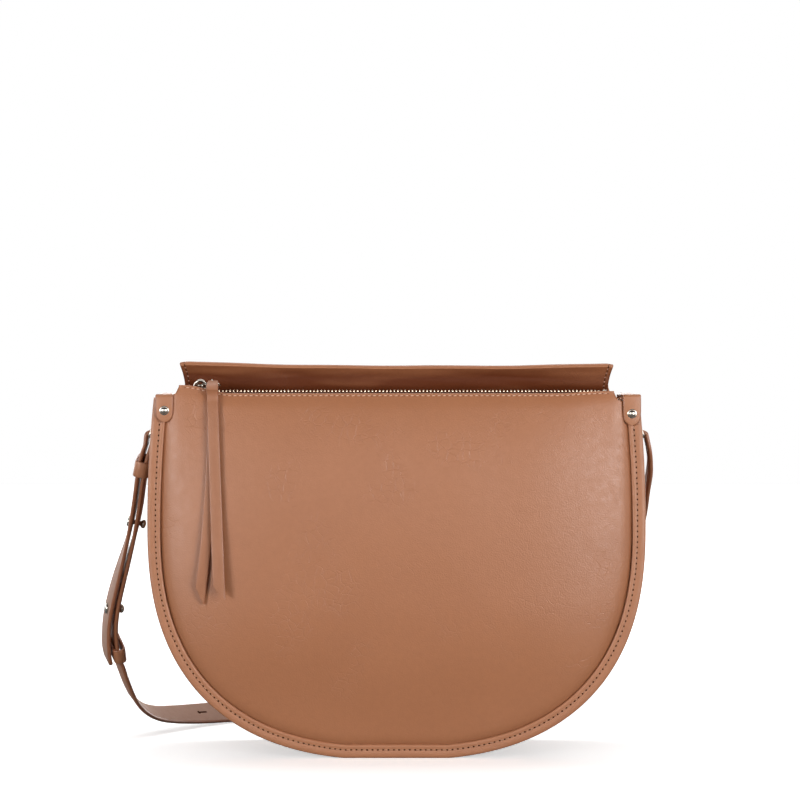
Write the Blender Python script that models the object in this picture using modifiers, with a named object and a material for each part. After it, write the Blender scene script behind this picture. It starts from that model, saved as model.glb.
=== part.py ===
"""A half-moon crossbody bag in smooth leather: panels, gusset and bound seams, a zip with its
slider and tasselled pull, riveted ears, and an adjustable strap on two rings. Metres, +Z up.
The origin is on the floor, under the middle of the front seam."""

import math

import bmesh
import bpy
from mathutils import Matrix, Vector

GAP = 0.0003            # what touching pieces leave between them

# Outline of the bag, seen from the front
BAG_WIDTH = 0.299
CURVE_HEIGHT = 0.1428   # height of the round lower part
CURVE_POWER = 2.5       # how square the round part is: 2 would be an ellipse
REST_SINK = 0.0012      # how much of the curve the floor flattens
SEAM_TOP = 0.2163
FRONT_TAPER = 0.0039    # how much each side draws in at the top
BACK_TAPER = 0.009
CURVE_STEPS = 15
SIDE_STEPS = 5

# Depth of the bag
BASE_DEPTH = 0.084
TOP_DEPTH = 0.030
LEAN_START = 0.040      # height where the back starts to lean forward
BACK_TOP = 0.2375

# Leather and seams
LEATHER = 0.0018
LINING = 0.0006
LINING_GAP = 0.0009
BINDING_WIDTH = 0.0084
BINDING_THICK = 0.0040
FRONT_BULGE = 0.013
BACK_BULGE = 0.005
PANEL_TOP_RISE = 0.0015 # how far the front panel stands above the zip
PANEL_TOP_HALF = 0.131
SHOULDER_HALF = 0.1325   # half width of the front panel just above the seam
SHOULDER_RISE = 0.0005
BACK_SIDE_HALF = 0.1290  # half width of the back panel between its seam and its top
BACK_SIDE_DROPS = (0.0075, 0.0150)
PANEL_COLUMNS = 12

# Zip
ZIP_HEIGHT = 0.2195
PANEL_TOP = ZIP_HEIGHT + PANEL_TOP_RISE
TAPE_THICK = 0.0008
TAPE_WIDTH = 0.0070
CHAIN_WIDTH = 0.0030
CHAIN_THICK = 0.0022
CHAIN_SLOT = 0.0014     # what the two rows of teeth leave between them
TOOTH_PITCH = 0.0040
TOOTH_DEPTH = 0.0014
CHAIN_HALF = 0.124
TAPE_HALF = 0.128
STOP_LENGTH = 0.0022
SLIDER_X = -0.1160
SLIDER_LENGTH = 0.0110
PULL_X = -0.1113         # the middle of the bridge, the ring and the pull
SLIDER_WIDTH = 0.0084
SLIDER_PLATE = 0.0011
SLIDER_WEB = 0.0008
BRIDGE_WIRE = 0.0006    # radius
BRIDGE_HALF = 0.0028
BRIDGE_RISE = 0.0042

# Pull
PULL_RING_RADIUS = 0.0048
PULL_RING_WIRE = 0.0007
RING_SQUARE = 0.6       # 1 would be a circle
TAIL_LENGTH = 0.126
TAIL_WIDTH = 0.0066
TAIL_THICK = 0.0011
TAIL_POINT = 0.010
TAIL_TIP_SHARE = 0.15    # of the strip's width, left at its tip
PULL_HALF = 0.0023      # half width where the strip is pinched through the ring
TAIL_STEPS = 10
TAIL_SWEEP = 0.0061     # how far the rear tail's tip hangs to the left
TAIL_DRIFT = 0.0060     # how far the front tail's tip hangs to the right

# Collar behind the zip
COLLAR_FOOT_HALF = 0.1250
COLLAR_TOP_HALF = 0.1302
COLLAR_HOLLOW = 0.0020
COLLAR_STEPS = 5

# Ears
EAR_X = 0.1400
EAR_WIDTH = 0.0108
EAR_DROP = 0.0178
EAR_THICK = 0.0016
EAR_BACK_DROP = 0.010
RIVET_DROP = 0.0090     # below the ear's top
RIVET_RADIUS = 0.0028
RIVET_RISE = 0.0012
RIVET_SHANK = 0.0010

# Strap anchors at the sides
PIVOT_DEPTH = 0.016
PIVOT_HEIGHT = 0.209
POST_RADIUS = 0.0015
POST_HEAD = 0.0030
POST_HEAD_THICK = 0.0010
TAB_WIDTH = 0.0140
TAB_THICK = 0.0012
TAB_RISE = 0.0040        # above the post
RING_WIRE = 0.0010      # radius
RING_TOP_X = 0.1450
RING_TOP_DROP = 0.0085   # below the post
RING_LOW_X = 0.1485
RING_LOW_DROP = 0.0165
RING_HALF_WIDTH = 0.0118
TAB_TOP = PIVOT_HEIGHT + TAB_RISE
RING_TOP_Z = PIVOT_HEIGHT - RING_TOP_DROP
RING_LOW_Z = PIVOT_HEIGHT - RING_LOW_DROP

# Strap
STRAP_WIDTH = 0.0180
STRAP_THICK = 0.0024
STRAP_TILT = math.radians(35)   # how far the strap stands up where it lies on the floor
HOLE_RADIUS = 0.0016
SPARE_HOLE = 12.5       # where on the run the spare hole is, in points
STUD_POST = 0.0013
STUD_BALL = 0.0028
STUD_RISE = 0.0016      # half the thickness of the button
STUD_NECK = 0.0006
STUD_CAP = 0.0034
STUD_CAP_THICK = 0.0012
KEEPER_HEIGHT = 0.0112
KEEPER_WALL = 0.0014
KEEPER_PLAY = 0.0006


# Route of the strap, from its left fold down, along the floor behind the bag, to its right fold
STRAP_RUN = (
    (-0.1478, 0.016, 0.1870), (-0.1508, 0.018, 0.1775), (-0.1535, 0.021, 0.1640), (-0.1560, 0.026, 0.1480),
    (-0.1600, 0.032, 0.1300), (-0.1655, 0.039, 0.1120), (-0.1710, 0.047, 0.0940), (-0.1745, 0.055, 0.0760),
    (-0.1745, 0.064, 0.0590), (-0.1728, 0.0705, 0.0505), (-0.1660, 0.088, 0.0270), (-0.1560, 0.108, 0.0140),
    (-0.1390, 0.134, 0.0090), (-0.1120, 0.164, 0.0070), (-0.0700, 0.196, 0.0068), (-0.0280, 0.206, 0.0068),
    (0.0120, 0.200, 0.0080), (0.0480, 0.182, 0.0160), (0.0780, 0.158, 0.0320), (0.1040, 0.134, 0.0560),
    (0.1290, 0.114, 0.0860), (0.1470, 0.094, 0.1140), (0.1524, 0.064, 0.1400), (0.1532, 0.037, 0.1600),
    (0.1537, 0.021, 0.1750), (0.1524, 0.016, 0.1860),
)
TILTED_FROM = 13        # the points of the run between which the strap stands tilted
TILTED_TO = 17
TAIL_RUN_GAP = (0.0014, 0.0014, 0.0012, 0.0012, 0.0012, 0.0012, 0.0013, 0.0020, 0.0031, 0.0036)
STRAP_TURN = math.radians(17)    # how far the strap turns about its own line beside the bag
STRAP_TURN_RAMP = (3, 6, 9, 12)  # the points of the run where that turn starts, is whole, and ends
STRAP_END_RUN = (0.1478, 0.016, 0.1830)
RUN_STEPS = 2


def clear_scene():
    """Removes every object there is."""
    for old in list(bpy.data.objects):
        bpy.data.objects.remove(old)


def material(name, colour, roughness, metallic=0.0):
    """A plain finish for one kind of piece."""
    made = bpy.data.materials.new(name)
    made.use_nodes = True
    shader = made.node_tree.nodes["Principled BSDF"]
    shader.inputs["Base Color"].default_value = (*colour, 1)
    shader.inputs["Roughness"].default_value = roughness
    shader.inputs["Metallic"].default_value = metallic
    return made


def add(name, mesh, finish, home):
    """An object for the mesh, in its collection, with its finish."""
    made = bpy.data.objects.new(name, mesh)
    home.objects.link(made)
    if finish:
        mesh.materials.append(finish)
    return made


def smooth(made):
    """Shades the piece smooth but for its sharp edges."""
    made.data.shade_smooth()
    made.data.set_sharp_from_angle(angle=math.radians(40))


def sheet(name, columns, rows, place, thick, finish, home, side=0):
    """A sheet of leather: a grid set in space by place(across, along), both from 0 to 1."""
    bm = bmesh.new()
    bmesh.ops.create_grid(bm, x_segments=columns, y_segments=rows, size=0.5)
    for vertex in bm.verts:
        vertex.co = place(vertex.co.x + 0.5, vertex.co.y + 0.5)
    mesh = bpy.data.meshes.new(name)
    bm.to_mesh(mesh)
    bm.free()
    made = add(name, mesh, finish, home)
    wall = made.modifiers.new("wall", "SOLIDIFY")
    wall.thickness = thick
    wall.offset = side
    smooth(made)
    return made


def lerp(a, b, share):
    """A value between a and b."""
    return a + (b - a) * share


def ease(share):
    """Runs from 0 to 1 with soft ends."""
    held = min(max(share, 0), 1)
    return held * held * (3 - 2 * held)


def back_depth(z):
    """Where the back panel stands at a height: it leans forward towards the top."""
    share = min(max((z - LEAN_START) / (BACK_TOP - LEAN_START), 0), 1)
    return TOP_DEPTH + (BASE_DEPTH - TOP_DEPTH) * (1 + math.cos(math.pi * share)) / 2


def half_outline(taper):
    """The right half of the bag's outline, from the top of the seam to the middle of the base."""
    half = BAG_WIDTH / 2
    centre = CURVE_HEIGHT - REST_SINK
    points = []
    for i in range(SIDE_STEPS):
        share = 1 - i / SIDE_STEPS
        points.append((half - taper * share * share, lerp(centre, SEAM_TOP, share)))
    last = math.asin((centre / CURVE_HEIGHT) ** (CURVE_POWER / 2))
    for i in range(CURVE_STEPS + 1):
        angle = last * i / CURVE_STEPS
        x = half * math.cos(angle) ** (2 / CURVE_POWER)
        z = centre - CURVE_HEIGHT * math.sin(angle) ** (2 / CURVE_POWER)
        points.append((x, max(z, 0)))
    points.append((0, 0))
    return points


def inset_outline(taper, inset):
    """The same half outline, drawn in by inset."""
    points = half_outline(taper)
    drawn = []
    for i, (x, z) in enumerate(points):
        before = points[max(i - 1, 0)]
        after = points[min(i + 1, len(points) - 1)]
        along = Vector((after[0] - before[0], after[1] - before[1])).normalized()
        if i >= len(points) - 2:
            along = Vector((-1, 0))
        drawn.append((x + along.y * inset, z - along.x * inset))
    return drawn


def whole_outline(taper, inset):
    """The outline from the top left, round the base, to the top right."""
    right = inset_outline(taper, inset)
    left = [(-x, z) for x, z in right]
    return left[:-1] + [left[-1]] + right[-2::-1]


def at(points, share):
    """A point of a list that a grid's row or column falls on."""
    return points[round(share * (len(points) - 1))]


def bulge(across, z, top, bottom, rise):
    """How far a panel swells out between its seams."""
    height = min(max((z - bottom) / (top - bottom), 0), 1)
    belly = math.sin(math.pi * height ** 0.8)
    sides = 1 - abs(2 * across - 1) ** 3
    return rise * belly * sides


def panel_rows(taper, inset, top_rows):
    """Half width and height of each row of a panel, from its top to its base."""
    return list(top_rows) + inset_outline(taper, inset)[:-1]


def make_panel(name, taper, inset, top_rows, depth, rise, thick, finish, home):
    """A half-moon panel; depth(z) is where it stands and rise how far it swells, towards -Y if negative."""
    rows = panel_rows(taper, inset, top_rows)
    top, bottom = rows[0][1], rows[-1][1]

    def place(across, along):
        half, z = at(rows, along)
        swell = bulge(across, z, top, bottom, rise)
        return Vector((lerp(-half, half, across), depth(z) + swell, z))

    return sheet(name, PANEL_COLUMNS, len(rows) - 1, place, thick, finish, home)


def make_band(name, front, back, y_front, y_back, thick, finish, home, side=0, cells=1):
    """A band that runs round the outline from a front line to a back line."""
    def place(across, along):
        a, b = at(front, along), at(back, along)
        x, z = lerp(a[0], b[0], across), lerp(a[1], b[1], across)
        return Vector((x, lerp(y_front(a[1]), y_back(b[1]), across), z))

    return sheet(name, cells, len(front) - 1, place, thick, finish, home, side)


def flat_outline(name, splines, thick, finish, home):
    """A flat shape cut from sheet, lying in the XY plane about its own origin, made a mesh."""
    curve = bpy.data.curves.new(name, "CURVE")
    curve.dimensions = "2D"
    curve.fill_mode = "BOTH"
    curve.extrude = thick / 2
    for points in splines:
        spline = curve.splines.new("POLY")
        spline.points.add(len(points) - 1)
        for point, (x, y) in zip(spline.points, points):
            point.co = (x, y, 0, 1)
        spline.use_cyclic_u = True
    return from_curve(name, curve, finish, home)


def tube(name, points, radius, finish, home, closed=False, sides=2):
    """A round wire through the points, made a mesh."""
    curve = bpy.data.curves.new(name, "CURVE")
    curve.dimensions = "3D"
    curve.bevel_depth = radius
    curve.bevel_resolution = sides
    curve.use_fill_caps = not closed
    spline = curve.splines.new("POLY")
    spline.points.add(len(points) - 1)
    for point, place in zip(spline.points, points):
        point.co = (*place, 1)
    spline.use_cyclic_u = closed
    return from_curve(name, curve, finish, home)


def from_curve(name, curve, finish, home):
    """Turns a curve into a closed mesh with its caps welded on."""
    guide = bpy.data.objects.new(name + "_curve", curve)
    home.objects.link(guide)
    bpy.context.view_layer.update()
    mesh = bpy.data.meshes.new_from_object(guide.evaluated_get(bpy.context.evaluated_depsgraph_get()))
    bpy.data.objects.remove(guide)
    bm = bmesh.new()
    bm.from_mesh(mesh)
    bmesh.ops.remove_doubles(bm, verts=bm.verts, dist=GAP / 30)
    bm.to_mesh(mesh)
    bm.free()
    mesh.materials.clear()
    made = add(name, mesh, finish, home)
    smooth(made)
    return made


def turned(name, profile, finish, home, steps=16):
    """A turned piece about its own Z: the profile is (radius, height), from its top down."""
    bm = bmesh.new()
    rings = [bm.verts.new((radius, 0, z)) for radius, z in profile]
    for a, b in zip(rings, rings[1:]):
        bm.edges.new((a, b))
    mesh = bpy.data.meshes.new(name)
    bm.to_mesh(mesh)
    bm.free()
    made = add(name, mesh, finish, home)
    screw = made.modifiers.new("turn", "SCREW")
    screw.steps = steps
    screw.render_steps = steps
    screw.use_merge_vertices = True
    screw.merge_threshold = GAP / 30
    screw.use_smooth_shade = False
    return made


def put(made, place, x_axis=None, z_axis=None):
    """Sets a piece at a place, with its own Z along z_axis and its X near x_axis."""
    z = Vector(z_axis or (0, 0, 1)).normalized()
    x = Vector(x_axis or (1, 0, 0))
    x = (x - z * x.dot(z)).normalized()
    y = z.cross(x)
    made.matrix_world = Matrix.Translation(place) @ Matrix((x, y, z)).transposed().to_4x4()
    return made


PANEL_INSET = BINDING_WIDTH + 2 * GAP
GUSSET_DRAW = 0.0004    # how much further in the gusset lies at its back edge
LINING_INSET = PANEL_INSET + LEATHER + 2 * LINING_GAP + LINING
FRONT_TOP_ROWS = ((PANEL_TOP_HALF, PANEL_TOP), (SHOULDER_HALF, SEAM_TOP + SHOULDER_RISE))
BACK_TOP_ROWS = ((COLLAR_TOP_HALF, BACK_TOP), *((BACK_SIDE_HALF, BACK_TOP - drop) for drop in BACK_SIDE_DROPS))
POCKET_ROWS = (4, 15)
POCKET_SHARES = (0.22, 0.78)
STIFFENER_HALF = 0.085
STIFFENER_THICK = 0.0016
STIFFENER_EDGE = 0.004

FRONT_TAPE_Y = GAP
FRONT_CHAIN_Y = FRONT_TAPE_Y + TAPE_WIDTH + GAP
SLOT_Y = FRONT_CHAIN_Y + CHAIN_WIDTH + CHAIN_SLOT / 2
BACK_CHAIN_Y = SLOT_Y + CHAIN_SLOT / 2
BACK_TAPE_Y = BACK_CHAIN_Y + CHAIN_WIDTH + GAP
COLLAR_Y = BACK_TAPE_Y + TAPE_WIDTH + GAP + LEATHER / 2
PLATE_LOW = CHAIN_THICK / 2 + GAP
PLATE_TOP = PLATE_LOW + SLIDER_PLATE
HOOK_Z = ZIP_HEIGHT + PLATE_TOP + GAP + PULL_RING_WIRE
PULL_LEAN = math.radians(8)     # how far the pull's ring stands up from lying flat
PULL_Y = SLOT_Y - 2 * PULL_RING_RADIUS * math.cos(PULL_LEAN)
PULL_Z = HOOK_Z + 2 * PULL_RING_RADIUS * math.sin(PULL_LEAN)


def make_shell(leather, cloth, board, home):
    """The leather body of the bag with its seams, and the lining inside it."""
    front = [FRONT_TAPER, PANEL_INSET, FRONT_TOP_ROWS]
    make_panel("front_panel", *front, lambda z: -LEATHER / 2, -FRONT_BULGE, LEATHER, leather, home)
    make_panel("back_panel", BACK_TAPER, PANEL_INSET, BACK_TOP_ROWS,
               lambda z: back_depth(z) + LEATHER / 2, BACK_BULGE, LEATHER, leather, home)
    wall = PANEL_INSET + LEATHER / 2
    make_band("gusset", whole_outline(FRONT_TAPER, wall), whole_outline(BACK_TAPER, wall + GUSSET_DRAW),
              lambda z: GAP, lambda z: back_depth(z) - GAP, LEATHER, leather, home, cells=2)
    for name, taper, depth in (("front_seam_binding", FRONT_TAPER, lambda z: 0),
                               ("back_seam_binding", BACK_TAPER, back_depth)):
        make_band(name, whole_outline(taper, 0), whole_outline(taper, BINDING_WIDTH),
                  depth, depth, BINDING_THICK, leather, home)
    sheet_gap = LINING_GAP + LINING / 2
    make_panel("lining_front", FRONT_TAPER, LINING_INSET, (), lambda z: sheet_gap, -FRONT_BULGE,
               LINING, cloth, home)
    make_panel("lining_back", BACK_TAPER, LINING_INSET, (), lambda z: back_depth(z) - sheet_gap,
               BACK_BULGE, LINING, cloth, home)
    inner = PANEL_INSET + LEATHER + sheet_gap
    make_band("lining_gusset", whole_outline(FRONT_TAPER, inner), whole_outline(BACK_TAPER, inner + GUSSET_DRAW),
              lambda z: LINING_GAP, lambda z: back_depth(z) - LINING_GAP, LINING, cloth, home)
    make_pocket(cloth, home)
    make_stiffener(board, home)


def make_pocket(cloth, home):
    """A slip pocket against the back lining."""
    rows = panel_rows(BACK_TAPER, LINING_INSET, ())
    kept = rows[POCKET_ROWS[0]:POCKET_ROWS[1]]
    off = 2 * LINING_GAP + LINING * 3 / 2

    def place(across, along):
        half, z = at(kept, along)
        share = lerp(*POCKET_SHARES, across)
        swell = bulge(share, z, rows[0][1], rows[-1][1], BACK_BULGE)
        return Vector((lerp(-half, half, share), back_depth(z) - off + swell, z))

    sheet("slip_pocket", PANEL_COLUMNS, len(kept) - 1, place, LINING, cloth, home)


def make_stiffener(board, home):
    """The board in the base, which follows its curve."""
    inset = PANEL_INSET + GUSSET_DRAW + LEATHER + LINING_GAP + LINING + GAP + STIFFENER_THICK / 2
    front = [p for p in whole_outline(FRONT_TAPER, inset) if abs(p[0]) < STIFFENER_HALF and p[1] < CURVE_HEIGHT]
    make_band("base_stiffener", front, front, lambda z: STIFFENER_EDGE,
              lambda z: back_depth(z) - STIFFENER_EDGE, STIFFENER_THICK, board, home)


def make_box(name, centre, size, finish, home):
    """A plain block."""
    bm = bmesh.new()
    bmesh.ops.create_cube(bm, size=1)
    bmesh.ops.scale(bm, vec=size, verts=bm.verts)
    bmesh.ops.translate(bm, vec=centre, verts=bm.verts)
    mesh = bpy.data.meshes.new(name)
    bm.to_mesh(mesh)
    bm.free()
    return add(name, mesh, finish, home)


def chain_outline(foot, tip):
    """One row of teeth in plan, from its straight foot to its tips."""
    points = [(CHAIN_HALF, foot), (-CHAIN_HALF, foot)]
    root = tip + math.copysign(TOOTH_DEPTH, foot - tip)
    count = round(2 * CHAIN_HALF / TOOTH_PITCH)
    for i in range(count):
        x = -CHAIN_HALF + i * TOOTH_PITCH
        points += [(x, tip), (x + TOOTH_PITCH / 2, tip), (x + TOOTH_PITCH / 2, root), (x + TOOTH_PITCH, root)]
    return points


def make_zip(tape, metal, home):
    """The zip's two tapes, two rows of teeth and their end stops."""
    for side, y in (("front", FRONT_TAPE_Y), ("back", BACK_TAPE_Y)):
        make_box(f"zip_tape_{side}", (0, y + TAPE_WIDTH / 2, ZIP_HEIGHT),
                 (2 * TAPE_HALF, TAPE_WIDTH, TAPE_THICK), tape, home)
    rows = (("front", FRONT_CHAIN_Y, FRONT_CHAIN_Y + CHAIN_WIDTH),
            ("back", BACK_CHAIN_Y + CHAIN_WIDTH, BACK_CHAIN_Y))
    for side, foot, tip in rows:
        row = flat_outline(f"zip_teeth_{side}", [chain_outline(foot, tip)], CHAIN_THICK, metal, home)
        row.location.z = ZIP_HEIGHT
    for side, sign in (("left", -1), ("right", 1)):
        make_box(f"zip_stop_{side}", (sign * (CHAIN_HALF + GAP + STOP_LENGTH / 2), SLOT_Y, ZIP_HEIGHT),
                 (STOP_LENGTH, 2 * CHAIN_WIDTH + CHAIN_SLOT, CHAIN_THICK), metal, home)


def make_collar(leather, home):
    """The raised leather facing between the zip and the top of the back panel."""
    foot = ZIP_HEIGHT - TAPE_THICK / 2
    top_y = TOP_DEPTH - GAP - LEATHER / 2

    def place(across, along):
        half = lerp(COLLAR_FOOT_HALF, COLLAR_TOP_HALF, along)
        y = lerp(COLLAR_Y, top_y, along) + COLLAR_HOLLOW * math.sin(math.pi * along) * (1 - along)
        return Vector((lerp(-half, half, across), y, lerp(foot, BACK_TOP, along)))

    sheet("top_collar", PANEL_COLUMNS, COLLAR_STEPS, place, LEATHER, leather, home)


def make_slider(metal, home):
    """The slider, its bridge, and the ring that hangs forward from the bridge."""
    half, web = SLIDER_WIDTH / 2, SLIDER_WEB / 2
    right = [(half, PLATE_TOP), (half, PLATE_LOW), (web, PLATE_LOW), (web, -PLATE_LOW), (half, -PLATE_LOW),
             (half, -PLATE_TOP)]
    left = [(-x, z) for x, z in reversed(right)]
    body = flat_outline("slider_body", [right + left], SLIDER_LENGTH, metal, home)
    put(body, (SLIDER_X, SLOT_Y, ZIP_HEIGHT), x_axis=(0, 1, 0), z_axis=(1, 0, 0))
    foot = ZIP_HEIGHT + PLATE_TOP + GAP
    arch = [(PULL_X, SLOT_Y - BRIDGE_HALF, foot)]
    for i in range(9):
        angle = math.pi * i / 8
        arch.append((PULL_X, SLOT_Y - BRIDGE_HALF * math.cos(angle),
                     foot + BRIDGE_RISE * (0.55 + 0.45 * math.sin(angle))))
    arch.append((PULL_X, SLOT_Y + BRIDGE_HALF, foot))
    tube("slider_bridge", arch, BRIDGE_WIRE, metal, home)
    ring = []
    for i in range(20):
        angle = 2 * math.pi * i / 20
        wide = math.copysign(abs(math.sin(angle)) ** RING_SQUARE, math.sin(angle))
        reach = PULL_RING_RADIUS * (1 - math.copysign(abs(math.cos(angle)) ** RING_SQUARE, math.cos(angle)))
        ring.append((PULL_X + PULL_RING_RADIUS * wide, SLOT_Y - reach * math.cos(PULL_LEAN),
                     HOOK_Z + reach * math.sin(PULL_LEAN)))
    tube("pull_ring", ring, PULL_RING_WIRE, metal, home, closed=True)


def tassel_path():
    """The folded strip of the pull: x, y, z and half width, from the rear tail's tip to the front tail's."""
    fold = PULL_RING_WIRE + 2 * GAP + TAIL_THICK / 2
    apart = TAIL_THICK + 2 * GAP
    edge = -LEATHER - TAIL_THICK
    rear, front = [], []
    for i in range(TAIL_STEPS + 1):
        share = i / TAIL_STEPS
        z = PANEL_TOP - TAIL_THICK * 3 - share * (TAIL_LENGTH - TAIL_THICK * 3)
        swell = bulge(0.5, z, PANEL_TOP, PANEL_INSET, FRONT_BULGE)
        y = edge - swell - GAP
        half = TAIL_WIDTH / 2 * min(1, (1 - share) * TAIL_LENGTH / TAIL_POINT + TAIL_TIP_SHARE)
        rear.append((PULL_X - TAIL_SWEEP * share ** 2, y, z, half))
        front.append((PULL_X + TAIL_DRIFT * share, y - apart - GAP, z, half))
    half = TAIL_WIDTH / 2
    over = [(edge - GAP, PANEL_TOP), (edge / 2, PANEL_TOP + 1.6 * TAIL_THICK)]
    for i in range(7):
        angle = -math.pi / 2 + math.pi * i / 6
        over.append((PULL_Y + fold * math.cos(angle), PULL_Z + fold * math.sin(angle)))
    over += [(PULL_Y - fold * 1.8, PULL_Z + fold * 0.7), (edge - apart * 0.9, PANEL_TOP + TAIL_THICK * 2.2),
             (edge - apart * 1.15, PANEL_TOP - TAIL_THICK)]
    narrow = [half, half] + [PULL_HALF] * 7 + [half] * 3
    return rear[::-1] + [(PULL_X, y, z, reach) for (y, z), reach in zip(over, narrow)] + front


def make_tassel(leather, home):
    """The leather pull: one strip folded over the ring, with two pointed tails."""
    path = tassel_path()

    def place(across, along):
        x, y, z, half = at(path, along)
        return Vector((x + lerp(-half, half, across), y, z))

    sheet("pull_tassel", 2, len(path) - 1, place, TAIL_THICK, leather, home)


EAR_FRONT_Y = -BINDING_THICK / 2 - 2 * GAP - EAR_THICK / 2
EAR_TOP_Z = SEAM_TOP + GAP + EAR_THICK / 2
BRIDGE_X = 0.1383       # the bridge of each ear, behind its front leg, runs further in
BRIDGE_WIDTH = 0.0076
EAR_TIP_STEPS = 5
TAB_WRAP = RING_WIRE + GAP + TAB_THICK / 2
TAB_X = RING_TOP_X - TAB_WRAP
LAYER = STRAP_THICK / 2


def make_ear(side, sign, leather, metal, home):
    """A leather ear riveted on the front corner, its bridge over the gusset, and its back leg."""
    deep = back_depth(SEAM_TOP)
    back_y = deep + BINDING_THICK / 2 + LEATHER / 2 + EAR_THICK / 2
    path = []
    for i in range(EAR_TIP_STEPS + 1):
        angle = math.pi / 2 * i / EAR_TIP_STEPS
        radius = EAR_WIDTH / 2
        path.append((EAR_X, EAR_FRONT_Y, EAR_TOP_Z - EAR_DROP + radius * (1 - math.cos(angle)),
                     max(radius * math.sin(angle), EAR_THICK / 2)))
    path.append((EAR_X, EAR_FRONT_Y, EAR_TOP_Z - EAR_THICK, EAR_WIDTH / 2))
    path.append((EAR_X, EAR_FRONT_Y + EAR_THICK / 2, EAR_TOP_Z, EAR_WIDTH / 2))
    path.append((BRIDGE_X, BINDING_THICK / 2, EAR_TOP_Z, BRIDGE_WIDTH / 2))
    path.append((BRIDGE_X, back_y - EAR_THICK / 2, EAR_TOP_Z, BRIDGE_WIDTH / 2))
    path.append((BRIDGE_X, back_y, EAR_TOP_Z - EAR_THICK, BRIDGE_WIDTH / 2))
    path.append((BRIDGE_X, back_depth(SEAM_TOP - EAR_BACK_DROP) + back_y - deep, EAR_TOP_Z - EAR_BACK_DROP,
                 BRIDGE_WIDTH / 2))

    def place(across, along):
        x, y, z, half = at(path, along)
        return Vector((sign * (x + lerp(-half, half, across)), y, z))

    sheet(f"{side}_ear", 2, len(path) - 1, place, EAR_THICK, leather, home)
    profile = [(0, RIVET_RISE)]
    for i in range(1, 5):
        angle = math.pi / 2 * i / 4
        profile.append((RIVET_RADIUS * math.sin(angle), RIVET_RISE * math.cos(angle)))
    profile.append((0, 0))
    front = turned(f"{side}_ear_rivet", profile, metal, home)
    put(front, (sign * EAR_X, EAR_FRONT_Y - EAR_THICK / 2 - GAP, EAR_TOP_Z - RIVET_DROP), z_axis=(0, -1, 0))
    low = EAR_TOP_Z - EAR_BACK_DROP / 2 - RIVET_RISE
    lean = Vector((0, EAR_BACK_DROP, back_depth(SEAM_TOP - EAR_BACK_DROP) - deep)).normalized()
    back = turned(f"{side}_back_rivet", profile, metal, home)
    seat = Vector((sign * BRIDGE_X, back_y + back_depth(low) - deep, low)) + lean * (EAR_THICK / 2 + GAP)
    put(back, seat, z_axis=lean)


def gusset_side():
    """How far out the gusset's outer face is where the post stands on it."""
    centre = CURVE_HEIGHT - REST_SINK
    share = max((PIVOT_HEIGHT - centre) / (SEAM_TOP - centre), 0)
    front = BAG_WIDTH / 2 - FRONT_TAPER * share ** 2 - PANEL_INSET
    back = BAG_WIDTH / 2 - BACK_TAPER * share ** 2 - PANEL_INSET - GUSSET_DRAW
    return lerp(front, back, (PIVOT_DEPTH - POST_RADIUS) / back_depth(PIVOT_HEIGHT))


def make_anchor(side, sign, leather, metal, home, cutters):
    """The swivel post on the gusset, the leather tab that turns on it, and the ring in the tab."""
    foot = gusset_side() + GAP - TAB_X - TAB_THICK / 2 - GAP
    post = [(0, POST_HEAD_THICK), (POST_HEAD, POST_HEAD_THICK), (POST_HEAD, 0), (POST_RADIUS, 0),
            (POST_RADIUS, foot), (0, foot)]
    made = turned(f"{side}_swivel_post", post, metal, home)
    put(made, (sign * (TAB_X + TAB_THICK / 2 + GAP), PIVOT_DEPTH, PIVOT_HEIGHT), x_axis=(0, 0, 1),
        z_axis=(sign, 0, 0))
    path = [(TAB_X, TAB_TOP), (TAB_X, PIVOT_HEIGHT), (TAB_X, PIVOT_HEIGHT - 2 * POST_RADIUS)]
    for i in range(8):
        angle = math.pi * (1 + i / 6)
        path.append((RING_TOP_X + TAB_WRAP * math.cos(angle), RING_TOP_Z + TAB_WRAP * math.sin(angle)))

    def place(across, along):
        x, z = at(path, along)
        return Vector((sign * x, PIVOT_DEPTH + lerp(-TAB_WIDTH / 2, TAB_WIDTH / 2, across), z))

    tab = sheet(f"{side}_ring_tab", 2, len(path) - 1, place, TAB_THICK, leather, home)
    hole = cutter_rod(f"{side}_tab_hole", (sign * TAB_X, PIVOT_DEPTH, PIVOT_HEIGHT), (1, 0, 0),
                      POST_RADIUS + GAP, 3 * TAB_THICK, cutters)
    cut(tab, hole)
    corner = RING_WIRE * 2
    low, high = Vector((RING_LOW_X, 0, RING_LOW_Z)), Vector((RING_TOP_X, 0, RING_TOP_Z))
    down = (low - high).normalized()
    loop = []
    for end, reach, way in ((high, 1, down), (low, -1, -down)):
        for y, off in ((reach * RING_HALF_WIDTH, corner), (reach * (RING_HALF_WIDTH - corner), 0),
                       (-reach * (RING_HALF_WIDTH - corner), 0), (-reach * RING_HALF_WIDTH, corner)):
            point = end + way * off
            loop.append((sign * point.x, PIVOT_DEPTH + y, point.z))
    tube(f"{side}_ring", loop, RING_WIRE, metal, home, closed=True)


def cutter_rod(name, centre, axis, radius, length, cutters):
    """A round cutter along an axis."""
    bm = bmesh.new()
    bmesh.ops.create_cone(bm, cap_ends=True, segments=12, radius1=radius, radius2=radius, depth=length)
    mesh = bpy.data.meshes.new(name)
    bm.to_mesh(mesh)
    bm.free()
    made = add(name, mesh, None, cutters)
    made.hide_render = True
    made.display_type = "WIRE"
    return put(made, centre, x_axis=(0, 1, 0), z_axis=axis)


def cut(made, tool):
    """Cuts the tool out of the piece."""
    step = made.modifiers.new("cut", "BOOLEAN")
    step.operation = "DIFFERENCE"
    step.object = tool


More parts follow.
